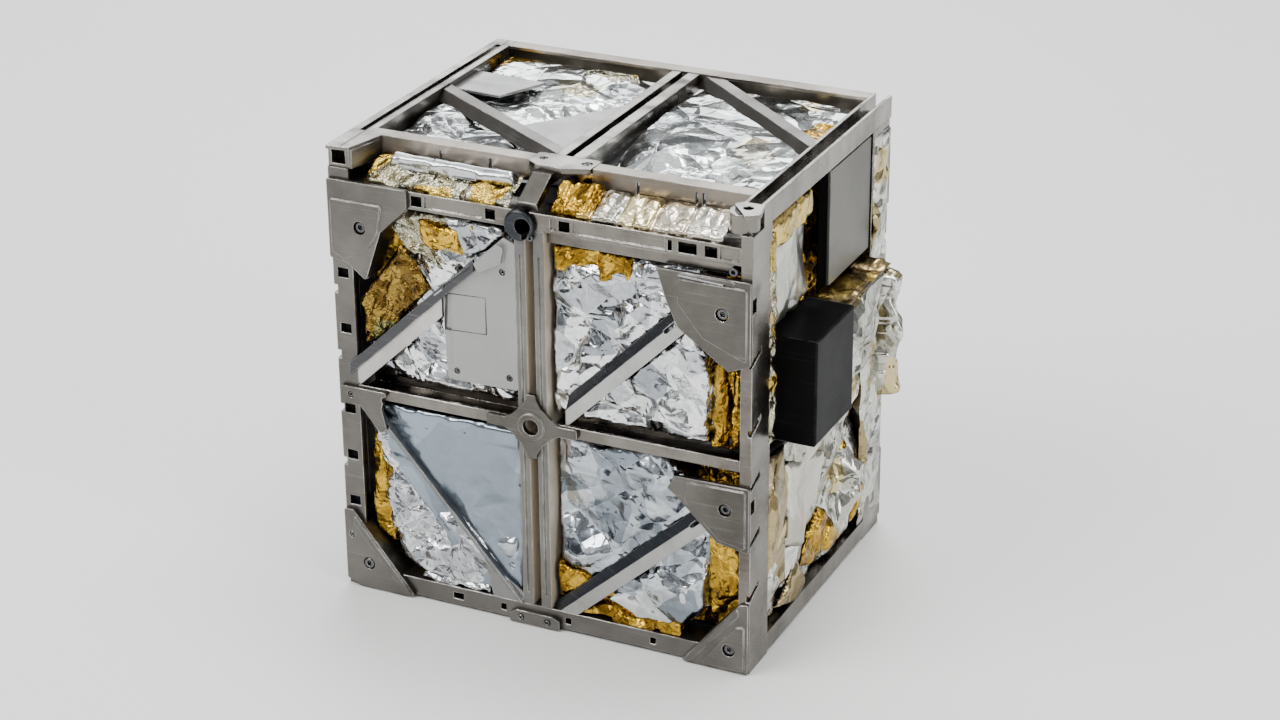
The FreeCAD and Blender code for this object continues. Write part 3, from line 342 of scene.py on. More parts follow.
# metal looks, each with what differs from the plain bright strip that comes first
plainMetal = {
    "wornAndHighlight": (0.95, 0.94, 0.92), "metallic": 1.0, "roughness": (0.24, 0.36), "wearAndHighlight": 0.3,
    "recessShade": (0.05, 0.05, 0.055), "bump": 0.05, "wave": 0.8, "scratch": 0.05, "shine": 0.5,
}
metalLooks = {
    "frame": {
        "deep": (0.045, 0.034, 0.025), "face": (0.200, 0.186, 0.167), "wornAndHighlight": (0.96, 0.93, 0.88),
        "roughness": (0.18, 0.34), "wearAndHighlight": 0.42, "recessShade": (0.020, 0.016, 0.012), "bump": 0.10, "wave": 1.3,
    },
    "blade": {
        "deep": (0.075, 0.07, 0.062), "face": (0.165, 0.158, 0.146), "wornAndHighlight": (0.96, 0.94, 0.90),
        "metallic": 0.45, "roughness": (0.30, 0.42), "wearAndHighlight": 0.42, "recessShade": (0.10, 0.085, 0.065),
        "bump": 0.08, "paintedSideShading": (0.62, 0.55, 0.45),
    },
    "deckRail": {
        "deep": (0.070, 0.062, 0.053), "face": (0.235, 0.221, 0.200), "wornAndHighlight": (0.96, 0.94, 0.90),
        "roughness": (0.22, 0.38), "wearAndHighlight": 0.46, "recessShade": (0.020, 0.016, 0.012), "bump": 0.10, "wave": 1.5,
        "groove": (0.0464, 0.0470), "grooveTop": 0.10725, "grooved": (0.045, 0.040, 0.034),
    },
    "inner": {
        "deep": (0.13, 0.11, 0.09), "face": (0.24, 0.21, 0.175), "wornAndHighlight": (0.96, 0.94, 0.90), "metallic": 0.9,
        "roughness": (0.28, 0.42), "wearAndHighlight": 0.42, "recessShade": (0.03, 0.024, 0.018), "bump": 0.06, "wave": 1.3,
    },
    "bracket": {
        "deep": (0.085, 0.078, 0.071), "face": (0.160, 0.150, 0.139), "wornAndHighlight": (0.94, 0.92, 0.88),
        "roughness": (0.30, 0.44), "wearAndHighlight": 0.40, "recessShade": (0.022, 0.018, 0.015), "bump": 0.06,
    },
    "darkBracket": {
        "deep": (0.060, 0.053, 0.047), "face": (0.125, 0.116, 0.106), "wornAndHighlight": (0.94, 0.92, 0.88),
        "roughness": (0.28, 0.42), "wearAndHighlight": 0.40, "recessShade": (0.022, 0.018, 0.015), "bump": 0.06, "wave": 1.0,
    },
    "brace": {"deep": (0.26, 0.255, 0.245), "face": (0.42, 0.418, 0.405), "paintedSideShading": (0.055, 0.062, 0.078)},
    "thinBrace": {
        "deep": (0.13, 0.13, 0.13), "face": (0.25, 0.25, 0.245), "wearAndHighlight": 0.4, "paintedSideShading": (0.26, 0.265, 0.275),
    },
    "railBrace": {
        "deep": (0.30, 0.28, 0.27), "face": (0.56, 0.53, 0.50), "paintedSideShading": (0.05, 0.052, 0.06),
        "proud": (0.07, 0.07, 0.075), "proudFace": -0.0392,
    },
    "radiator": {
        "deep": (0.106, 0.104, 0.091), "face": (0.118, 0.115, 0.102), "wornAndHighlight": (0.70, 0.69, 0.66),
        "metallic": 0.15, "roughness": (0.45, 0.55), "wearAndHighlight": 0.25, "recessShade": (0.03, 0.03, 0.03), "bump": 0.03,
        "wave": 0.1, "scratch": 0.02,
    },
    "steel": {
        "deep": (0.06, 0.06, 0.063), "face": (0.13, 0.13, 0.134), "wornAndHighlight": (0.60, 0.60, 0.60),
        "recessShade": (0.004, 0.004, 0.004),
    },
    "dark_metal": {
        "deep": (0.012, 0.013, 0.015), "face": (0.040, 0.043, 0.049), "wornAndHighlight": (0.45, 0.46, 0.48),
        "metallic": 0.9, "roughness": (0.22, 0.36), "wearAndHighlight": 0.25, "recessShade": (0.004, 0.004, 0.004),
        "bump": 0.06,
    },
    "plate": {
        "deep": (0.28, 0.28, 0.275), "face": (0.325, 0.325, 0.318), "wornAndHighlight": (0.80, 0.79, 0.77),
        "metallic": 0.6, "roughness": (0.36, 0.46), "wearAndHighlight": 0.25, "recessShade": (0.06, 0.06, 0.06), "bump": 0.035,
        "wave": 0.04, "scratch": 0.03,
    },
    "dark_plate": {
        "deep": (0.16, 0.155, 0.15), "face": (0.27, 0.265, 0.26), "wornAndHighlight": (0.7, 0.7, 0.7), "metallic": 0.8,
        "roughness": (0.3, 0.42), "recessShade": (0.02, 0.02, 0.02),
    },
    "black_box": {
        "deep": (0.002, 0.002, 0.0025), "face": (0.005, 0.005, 0.0055), "wornAndHighlight": (0.42, 0.42, 0.43),
        "metallic": 0.0, "roughness": (0.28, 0.40), "wearAndHighlight": 0.35, "recessShade": (0.002, 0.002, 0.002),
        "bump": 0.03, "wave": 0.05, "scratch": 0.02, "shine": 0.03,
    },
    "shadow": {
        "deep": (0.002, 0.002, 0.002), "face": (0.003, 0.003, 0.003), "wornAndHighlight": (0.004, 0.004, 0.004),
        "metallic": 0.0, "roughness": (0.85, 0.95), "wearAndHighlight": 0.0, "recessShade": (0.002, 0.002, 0.002), "bump": 0.02,
        "scratch": 0.0, "shine": 0.0,
    },
    "core": {
        "deep": (0.04, 0.04, 0.04), "face": (0.10, 0.10, 0.10), "wornAndHighlight": (0.3, 0.3, 0.3), "metallic": 0.6,
        "roughness": (0.4, 0.5), "wearAndHighlight": 0.2, "recessShade": (0.01, 0.01, 0.01), "bump": 0.03,
    },
}
# how far blotches, painted recess shade and rubbed edges with their painted highlight show on every metal,
# and how deep its grain and waves are
metalWearAndShading = {
    "blotch": 0.75, "recessShade": 0.8, "recessShadeReach": 0.0016, "rubbedAndHighlight": 0.9, "breakup": 140.0, "grainDepth": 0.0002,
    "waveDepth": 0.0009,
}


def makeMetal(name, look, groups):
    look = plainMetal | look
    material, tree, surface = newMaterial(name, Metallic=look["metallic"], Specular_IOR_Level=look["shine"])
    wearAndHighlight = useGroup(tree, groups["edgeWearAndHighlight"], Spread=look["wearAndHighlight"] - 0.5, Breakup=metalWearAndShading["breakup"])
    recessShade = useGroup(tree, groups["paintedRecessShade"], Reach=metalWearAndShading["recessShadeReach"])
    grain = useGroup(tree, groups["rubbedGrain"], Scale=1.0)
    tone = painted(tree, look["face"], grain["Blotch"], metalWearAndShading["blotch"], look["deep"])
    if "paintedSideShading" in look:
        # faces that lean away from the front carry a painted tone for how light falls on their sides: painted
        # light on the blades, painted shade on the braces
        facing = addNode(tree, "ShaderNodeNewGeometry").outputs["True Normal"]
        lean = sums(tree, "ABSOLUTE", vectors(tree, "DOT_PRODUCT", facing, (0.0, -1.0, 0.0)))
        tone = blend(tree, rangeOf(tree, lean, 0.96, 0.88), tone, look["paintedSideShading"])
    if "proud" in look:
        # the raised strip in front of the frame's own face
        raised = stepAt(tree, partOf(tree, objectPlace(tree), "Y"), look["proudFace"], -0.0001)
        tone = blend(tree, raised, tone, look["proud"])
    if "groove" in look:
        # a painted dark line along the top of a rail, the shade in its groove, between two distances from the
        # middle
        place = objectPlace(tree)
        out = sums(tree, "ABSOLUTE", partOf(tree, place, "X"))
        low, high = look["groove"]
        inside = sums(tree, "MULTIPLY", stepAt(tree, out, low), stepAt(tree, out, high, -0.0001))
        raised = stepAt(tree, partOf(tree, place, "Z"), look["grooveTop"], 0.00005)
        tone = painted(tree, tone, inside, raised, look["grooved"])
    tone = painted(tree, tone, grain["Scratch"], look["scratch"], look["wornAndHighlight"])
    # painted shade darkens the metal in corners and slots
    tone = painted(tree, tone, recessShade["Mask"], metalWearAndShading["recessShade"], look["recessShade"])
    # edges painted bright, partly real wear and partly a painted highlight
    tone = painted(tree, tone, wearAndHighlight["Mask"], metalWearAndShading["rubbedAndHighlight"], look["wornAndHighlight"])
    link(tree, tone, surface["Base Color"])
    link(tree, rangeOf(tree, grain["Blotch"], 0.0, 1.0, *look["roughness"]), surface["Roughness"])
    wave = addNode(tree, "ShaderNodeBump", Strength=look["wave"], Distance=metalWearAndShading["waveDepth"],
                   Height=grain["Wave"], Normal=wearAndHighlight["Normal"])
    bump = addNode(tree, "ShaderNodeBump", Strength=look["bump"], Distance=metalWearAndShading["grainDepth"],
                   Height=grain["Height"], Normal=wave.outputs[0])
    link(tree, bump.outputs[0], surface["Normal"])
    return material


# foil looks
foilLooks = {
    "silverFoil": {
        "bright": (0.88, 0.89, 0.90), "shade": (0.33, 0.355, 0.385), "roughness": (0.10, 0.20),
        "cells": 66.0, "bump": 1.25, "fine": 0.5, "seed": 0.0, "glint": 0.4,
    },
    "deckFoil": {
        "bright": (0.74, 0.755, 0.75), "shade": (0.34, 0.36, 0.36), "second": (0.66, 0.60, 0.42),
        "share": 0.06, "patch": 120.0, "roughness": (0.12, 0.22), "cells": 46.0, "bump": 1.1, "fine": 0.4,
        "seed": 1.3, "glint": 0.8,
    },
    "blueFoil": {
        "bright": (0.62, 0.655, 0.695), "shade": (0.22, 0.255, 0.295), "roughness": (0.10, 0.20),
        "cells": 54.0, "bump": 1.15, "fine": 0.4, "seed": 9.2, "glint": 0.35,
    },
    "smoothSilver": {
        "bright": (0.76, 0.765, 0.77), "shade": (0.60, 0.61, 0.63), "roughness": (0.20, 0.28), "cells": 40.0,
        "bump": 0.4, "fine": 0.2, "seed": 3.7, "glint": 0.2,
    },
    "softFoil": {
        "bright": (0.60, 0.60, 0.56), "shade": (0.38, 0.38, 0.34), "roughness": (0.26, 0.34), "cells": 36.0,
        "bump": 0.45, "fine": 0.15, "seed": 6.6,
    },
    "beigeFoil": {
        "bright": (0.62, 0.60, 0.53), "shade": (0.48, 0.46, 0.39), "roughness": (0.26, 0.36), "cells": 42.0,
        "bump": 0.5, "fine": 0.3, "seed": 8.4,
    },
    "flapFoil": {
        "bright": (0.34, 0.25, 0.12), "shade": (0.13, 0.085, 0.035), "second": (0.74, 0.54, 0.16),
        "share": 0.35, "patch": 70.0, "roughness": (0.20, 0.30), "cells": 60.0, "bump": 0.7, "fine": 0.4,
        "seed": 5.8,
    },
    "moduleFoil": {
        "bright": (0.62, 0.62, 0.58), "shade": (0.36, 0.355, 0.31), "second": (0.40, 0.32, 0.17),
        "share": 0.30, "patch": 85.0, "roughness": (0.18, 0.28), "cells": 52.0, "bump": 0.9, "fine": 0.35,
        "seed": 4.9,
    },
    "brownFoil": {
        "bright": (0.40, 0.32, 0.17), "shade": (0.16, 0.12, 0.06), "roughness": (0.20, 0.30), "cells": 60.0,
        "bump": 0.8, "fine": 0.5, "seed": 2.8,
    },
    "smoothFoil": {
        "bright": (0.30, 0.35, 0.405), "shade": (0.235, 0.28, 0.325), "roughness": (0.20, 0.28),
        "cells": 40.0, "bump": 0.3, "fine": 0.2, "seed": 3.1, "glint": 0.12,
    },
    "fineFoil": {
        "bright": (0.74, 0.75, 0.775), "shade": (0.40, 0.42, 0.455), "line": 0.3, "glint": 0.8,
        "roughness": (0.14, 0.24), "cells": 120.0, "bump": 1.3, "fine": 0.6, "seed": 2.3,
    },
    "goldFoil": {
        "bright": (0.74, 0.45, 0.050), "shade": (0.26, 0.14, 0.014), "roughness": (0.16, 0.28),
        "cells": 110.0, "bump": 1.3, "fine": 0.7, "seed": 1.7,
    },
    "oldGoldFoil": {
        "bright": (0.40, 0.255, 0.055), "shade": (0.11, 0.060, 0.012), "second": (0.38, 0.34, 0.12),
        "share": 0.25, "patch": 90.0, "roughness": (0.16, 0.26), "cells": 170.0, "bump": 1.5, "fine": 0.8,
        "seed": 6.1, "glint": 0.35,
    },
    "paleGoldFoil": {
        "bright": (0.70, 0.67, 0.53), "shade": (0.34, 0.30, 0.18), "second": (0.74, 0.50, 0.10),
        "share": 0.24, "patch": 130.0, "roughness": (0.14, 0.26), "cells": 240.0, "bump": 1.7, "fine": 1.0,
        "seed": 5.3,
    },
    "patchFoil": {
        "bright": (0.74, 0.735, 0.70), "shade": (0.44, 0.43, 0.37), "second": (0.72, 0.60, 0.32),
        "share": 0.22, "patch": 100.0, "roughness": (0.16, 0.26), "cells": 60.0, "bump": 1.1, "fine": 0.4,
        "seed": 7.9,
    },
    "tileFoil": {
        "bright": (0.74, 0.70, 0.60), "shade": (0.50, 0.45, 0.34), "second": (0.76, 0.50, 0.12),
        "share": 0.14, "patch": 210.0, "metric": "CHEBYCHEV", "tiles": (
            (0.0123, (0.74, 0.48, 0.08)), (0.0186, (0.42, 0.41, 0.36)), (0.0264, (0.82, 0.68, 0.38)),
            (0.0341, (0.62, 0.55, 0.43)), (0.05, (0.72, 0.68, 0.60)),
        ),
        "roughness": (0.16, 0.28), "cells": 130.0, "bump": 0.8, "fine": 0.5, "seed": 4.2,
    },
}
# how far the creases' painted glints and painted dark crease lines, a second colour, coloured lengths and
# painted recess shade show on every foil
foilMarksAndShading = {
    "glint": 0.55, "glintTone": 1.3, "brightest": 0.96, "line": 0.45, "lineTone": 0.4, "secondTone": 0.45,
    "metric": "EUCLIDEAN", "tileShare": 0.8, "recessShade": 0.6, "recessShadeTone": 0.2, "recessShadeReach": 0.0025,
}


def makeFoil(name, look, groups):
    look = foilMarksAndShading | look
    material, tree, surface = newMaterial(name, Metallic=1.0)
    crease = useGroup(tree, groups["foilCreases"], Scale=look["cells"], Seed=look["seed"], Fine=look["fine"])
    # each facet painted between the bright and the shaded tone: a painted reflection that changes from facet
    # to facet
    tone = blend(tree, rangeOf(tree, crease["FacetReflection"], 0.2, 0.8), look["bright"], look["shade"])
    # painted glints along the main creases, painted shade as dark lines along the finest
    bright = tuple(min(c, look["brightest"]) for c in dimmed(look["bright"], look["glintTone"]))
    tone = painted(tree, tone, crease["Glint"], look["glint"], bright)
    tone = painted(tree, tone, crease["Line"], look["line"], dimmed(look["shade"], look["lineTone"]))
    if "second" in look:
        # patches of a second colour, with their own darker tone
        patch = addNode(tree, "ShaderNodeTexVoronoi", distance=look["metric"], Vector=objectPlace(tree),
                        Scale=look["patch"], Randomness=0.9)
        pick = addNode(tree, "ShaderNodeSeparateColor", Color=patch.outputs["Color"]).outputs
        other = blend(tree, pick[2], look["second"], dimmed(look["second"], look["secondTone"]))
        tone = blend(tree, stepAt(tree, pick[1], 1 - look["share"], 0.02), tone, other)
    if "tiles" in look:
        # upright lengths, each with its own colour
        x = partOf(tree, objectPlace(tree), "X")
        lengths = look["tiles"][-1][1]
        for place, colour in reversed(look["tiles"]):
            lengths = blend(tree, stepAt(tree, x, place, -0.0001), lengths, colour)
        tone = blend(tree, look["tileShare"], tone, lengths)
    # painted shade darkens the foil in corners and where sheets meet
    recessShade = useGroup(tree, groups["paintedRecessShade"], Reach=look["recessShadeReach"])
    tone = painted(tree, tone, recessShade["Mask"], look["recessShade"], dimmed(look["shade"], look["recessShadeTone"]))
    link(tree, tone, surface["Base Color"])
    link(tree, rangeOf(tree, crease["Blotch"], 0.0, 1.0, *look["roughness"]), surface["Roughness"])
    bump = addNode(tree, "ShaderNodeBump", Strength=1.0, Distance=look["bump"], Height=crease["Height"])
    link(tree, bump.outputs[0], surface["Normal"])
    return material


groups = {
    "edgeWearAndHighlight": makeEdgeWearAndHighlight(),
    "paintedRecessShade": makePaintedRecessShade(),
    "rubbedGrain": makeRubbedGrain(),
    "foilCreases": makeFoilCreases(),
}
looks = {name: makeMetal(name, look, groups) for name, look in metalLooks.items()}
looks.update({name: makeFoil(name, look, groups) for name, look in foilLooks.items()})
# a node wears its slot's look, or its own
slotLooks = {"silver_foil": "silverFoil", "gold_foil": "goldFoil"}
nodeLooks = {
    "front_left_post": "bracket", "front_hub": "darkBracket", "front_bottom_rail": "bracket",
    "gusset_upper_right": "darkBracket", "gusset_middle_right": "darkBracket",
    "brace_upper_left": "railBrace", "brace_lower_left": "thinBrace",
    "front_blades": "blade", "back_blades": "blade",
    "deck_left_rail": "deckRail", "deck_right_rail": "deckRail",
    "deck_front_rail": "inner", "deck_back_rail": "inner",
    "deck_brace_left": "darkBracket", "deck_brace_right": "darkBracket",
    "right_plate": "radiator", "left_plate": "radiator",
}
for row in frame["record"]["subparts"]:
    slot = row["material_slot"]
    mesh = nodes[row["node"]].data
    mesh.materials.clear()
    mesh.materials.append(looks[nodeLooks.get(row["node"], slotLooks.get(slot, slot))])
makeCamera()
makeLamps()
makeRoom()
makeFloor()
print("camera, light and materials made")

# foil sheets
# the faces that they and the screws lie on: two flat directions, and the way out
faces = {
    "front": ((1, 0, 0), (0, 0, 1), (0, -1, 0)),
    "back": ((-1, 0, 0), (0, 0, 1), (0, 1, 0)),
    "right": ((0, 1, 0), (0, 0, 1), (1, 0, 0)),
    "left": ((0, -1, 0), (0, 0, 1), (-1, 0, 0)),
    "top": ((1, 0, 0), (0, 1, 0), (0, 0, 1)),
    "under": ((-1, 0, 0), (0, 1, 0), (0, 0, -1)),
    "brow": ((1, 0, 0), (0, 0.8, 0.6), (0, -0.6, 0.8)),
    "shelf": ((0, 1, 0), (-0.8, 0, 0.6), (0.6, 0, 0.8)),
}
# what a sheet has unless it says otherwise, in mm where it is a length
plainSheet = {
    "thickness": 0.12, "step": 0.4, "soft": 1.3, "ragged": 0.25, "rise": 0, "sink": 0.25, "edgeFolds": 0.15,
    "seamDepth": 0.9, "seamHalf": 0.7, "slack": 1.5, "smallest": 10,
}
edgeWander = {"seed": 900, "cell": 4, "slope": 0.5}  # how a sheet's edge runs in and out
foldPatches = {"seed": 500, "cell": 14, "soft": 5}  # where a layer of folds shows
rays = {"start": 200, "deepest": 20}  # mm out from the middle, and below the highest point


def heightsOn(node, face, flat):
    # how far a solid's own surface stands out under each flat point
    across, upward, outward = (Vector(axis) for axis in faces[face])
    mesh = nodes[node].data
    corners = [nodes[node].matrix_world @ vert.co for vert in mesh.vertices]
    solid = BVHTree.FromPolygons(corners, [polygon.vertices[:] for polygon in mesh.polygons])
    start = rays["start"] * mm
    heights = []
    for u, v in flat:
        hit = solid.ray_cast(across * u + upward * v + outward * start, -outward)
        heights.append(math.nan if hit[0] is None else start - hit[3])
    heights = np.array(heights)
    # a ray through an opening misses, or meets the far side
    heights[heights < np.nanmax(heights) - rays["deepest"] * mm] = math.nan
    heights[np.isnan(heights)] = np.nanmin(heights)
    return heights


def flatFolds(flat, seed, cell, slope, stretch=1.0, turn=0.0):
    # flat facets between straight creases: one heap of planes under another
    dice = np.random.default_rng(seed)
    c, s = math.cos(turn), math.sin(turn)
    spots = flat @ np.array(((c, -s), (s, c)))
    spots = spots / np.array((stretch, 1.0))
    low, high = spots.min(0) - cell, spots.max(0) + cell
    count = int(np.prod((high - low) / cell)) + 4
    rise = np.zeros(len(flat))
    for way in (1, -1):
        seeds = dice.uniform(low, high, (count, 2))
        rise += way * (2 * spots @ seeds.T - (seeds**2).sum(1)).max(1)
    return rise * slope / cell


def foldHeights(flat, folds, seed):
    height = np.zeros(len(flat))
    for i, (cell, slope, stretch, turn, share) in enumerate(folds):
        layer = flatFolds(flat, seed + i, cell * mm, slope, stretch, math.radians(turn))
        if share < 1:
            where = flatFolds(flat, seed + i + foldPatches["seed"], foldPatches["cell"] * mm, 1.0)
            layer *= np.clip(where / (foldPatches["soft"] * mm) + share * 2 - 0.5, 0, 1)
        height += layer
    return height


def insideBy(flat, outline):
    # how far each point lies inside a convex outline that runs anticlockwise
    near = np.full(len(flat), 1.0)
    for i, (u, v) in enumerate(outline):
        following = outline[(i + 1) % len(outline)]
        along = np.array((following[0] - u, following[1] - v))
        along = along / np.linalg.norm(along)
        near = np.minimum(near, (flat - np.array((u, v))) @ np.array((-along[1], along[0])))
    return near


def flatGrid(points, step):
    # a fine flat grid cut to a convex outline
    low, high = np.min(points, 0), np.max(points, 0)
    size = high - low
    bm = bmesh.new()
    count = np.maximum((size / step).astype(int), 4)
    bmesh.ops.create_grid(bm, x_segments=int(count[0]), y_segments=int(count[1]), size=0.5)
    bmesh.ops.scale(bm, vec=(size[0], size[1], 1), verts=bm.verts)
    bmesh.ops.translate(bm, vec=(*(low + size / 2), 0), verts=bm.verts)
    for i, (u, v) in enumerate(points):
        following = points[(i + 1) % len(points)]
        along = Vector((following[0] - u, following[1] - v, 0))
        # the grid itself ends at level and upright sides
        if min(abs(along.x), abs(along.y)) > 1e-6:
            bmesh.ops.bisect_plane(bm, geom=bm.verts[:] + bm.edges[:] + bm.faces[:], plane_co=(u, v, 0),
                                   plane_no=along.cross(Vector((0, 0, 1))), clear_outer=True)
    return bm, size


def baseHeights(flat, lift, sheet):
    # the sheet without its folds: from its seat up to its crown, or over the solid that it lies on
    if "depth" in sheet:
        seat, crown = (d * mm for d in sheet["depth"])
        base = seat + lift * (crown - seat)
    else:
        base = heightsOn(sheet["stands"], sheet["face"], flat) + lift * sheet["rise"] * mm
    for middle, width, rise in sheet.get("rolls", ()):
        across = np.clip(1 - ((flat[:, 1] / mm - middle) / width) ** 2, 0, 1)
        base = base + lift * rise * mm * np.sqrt(across)
    for seam in sheet.get("seams", ()):
        away = np.abs(flat[:, 0] / mm - seam)
        base = base - sheet["seamDepth"] * mm * np.clip(1 - away / sheet["seamHalf"], 0, 1)
    return base


# how a strip of the frame holds a sheet down: the strip's underside, half the width of the level stretch,
# the slope on either side of it, and the share of the folds that is left
stripHold = {"height": 36.3, "half": 2.2, "slope": 0.36, "folds": 0.12}


def heldDown(height, folded, flat, sheet):
    if "limit" in sheet:
        # folds that would stand too far out are pressed down, less and less, in the last millimetre
        free = (sheet["limit"] - 1) * mm
        over = np.maximum(height - free, 0)
        height = np.minimum(height, free) + mm * (1 - np.exp(-over / mm))
    for start, end in sheet.get("pressed", ()):
        along = np.subtract(end, start) / math.dist(start, end)
        away = np.abs((flat / mm - np.array(start)) @ np.array((-along[1], along[0])))
        ceiling = stripHold["height"] + stripHold["slope"] * np.maximum(away - stripHold["half"], 0)
        height = np.minimum(height, ceiling * mm + stripHold["folds"] * folded)
    return height


def makePiece(name, bm, look):
    bmesh.ops.recalc_face_normals(bm, faces=bm.faces)
    mesh = bpy.data.meshes.new(name)
    bm.to_mesh(mesh)
    bm.free()
    mesh.materials.append(looks[look])
    piece = addObject(name, mesh)
    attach(piece, "root")
    return piece


def foilSheet(name, sheet):
    # a crumpled sheet over a convex outline
    sheet = plainSheet | sheet
    points = [(u * mm, v * mm) for u, v in sheet["outline"]]
    bm, size = flatGrid(points, sheet["step"] * mm)
    flat = np.array([vert.co.xy for vert in bm.verts])
    wander = flatFolds(flat, sheet["seed"] + edgeWander["seed"], edgeWander["cell"] * mm, edgeWander["slope"])
    depth = insideBy(flat, points) + np.clip(wander, -sheet["ragged"] * mm, sheet["ragged"] * mm)
    lift = np.sin(np.clip(depth / (sheet["soft"] * mm), 0, 1) * math.pi / 2)
    base = baseHeights(flat, lift, sheet)
    folded = foldHeights(flat, sheet["folds"], sheet["seed"])
    share = sheet["edgeFolds"] + (1 - sheet["edgeFolds"]) * lift
    height = heldDown(base + folded * share - sheet["sink"] * mm, folded, flat, sheet)
    across, upward, outward = (Vector(axis) for axis in faces[sheet["face"]])
    for vert, (u, v), h in zip(bm.verts, flat, height):
        vert.co = across * u + upward * v + outward * h
    bmesh.ops.solidify(bm, geom=bm.faces[:], thickness=sheet["thickness"] * mm)
    for f in bm.faces:
        f.smooth = True
    piece = makePiece(name, bm, sheet["look"])
    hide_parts(sheet["stands"])


def box(u, v):
    return [(u[0], v[0]), (u[1], v[0]), (u[1], v[1]), (u[0], v[1])]


# folds: cell size in mm, slope, stretch, turn in degrees, and the share of the sheet they cover
bigFolds = ((14, 0.22, 2.4, -30, 1), (7, 0.20, 3.0, 38, 0.8), (3.4, 0.18, 3.5, -60, 0.35))
fanFolds = ((10, 0.22, 3.2, -38, 1), (4.6, 0.22, 4.5, -30, 0.9), (2.2, 0.18, 3.0, -48, 0.5))
flapFolds = ((8, 0.14, 4.0, 66, 1), (2.8, 0.30, 6.0, 62, 1), (1.4, 0.28, 5.0, 72, 0.9))
softFolds = ((13, 0.13, 1.6, 70, 1), (7, 0.11, 2.2, -40, 0.7), (2.4, 0.22, 2.0, 0, 0.14))
bandFolds = ((5.5, 0.26, 5.0, -14, 1), (3.0, 0.2, 2.0, 30, 0.3))
panelFolds = ((16, 0.07, 2.0, 80, 1), (8, 0.07, 3.0, 70, 0.6), (2.4, 0.16, 2.0, 10, 0.15))
shardFolds = ((7, 0.24, 1.6, 40, 1), (3.4, 0.22, 2.0, -30, 0.7))
calmFolds = ((20, 0.09, 1.4, 60, 1), (9, 0.06, 2.2, -40, 0.5), (2.4, 0.16, 2.0, 0, 0.05))
roughFolds = ((9, 0.22, 1.3, 50, 1), (4.5, 0.26, 1.8, -25, 0.95), (2.4, 0.28, 1.6, 10, 0.8))
sideFolds = ((8, 0.17, 2.2, -35, 1), (4, 0.18, 3.0, 50, 0.5), (2.2, 0.16, 2.0, 10, 0.3))
deckFolds = ((16, 0.15, 2.6, 32, 1), (7, 0.18, 4.0, -38, 0.8), (3, 0.18, 3.5, 50, 0.25))
tallFolds = ((11, 0.22, 3.4, 92, 1), (6, 0.16, 3.5, 78, 0.7), (3, 0.16, 2.5, 80, 0.2))
rollFolds = ((9, 0.05, 1.0, 0, 1), (4, 0.08, 1.0, 90, 0.5))
tileFolds = ((5, 0.07, 0.6, 0, 1), (2.2, 0.12, 0.6, 6, 0.7))
edgeFolds = ((5, 0.14, 2.4, 68, 1), (2.6, 0.2, 2.8, 58, 0.9), (1.5, 0.22, 1.6, 20, 0.6))
goldFolds = ((9, 0.2, 2.4, 80, 1), (3.6, 0.30, 3.2, 72, 0.9), (1.8, 0.24, 2.4, 60, 0.6))

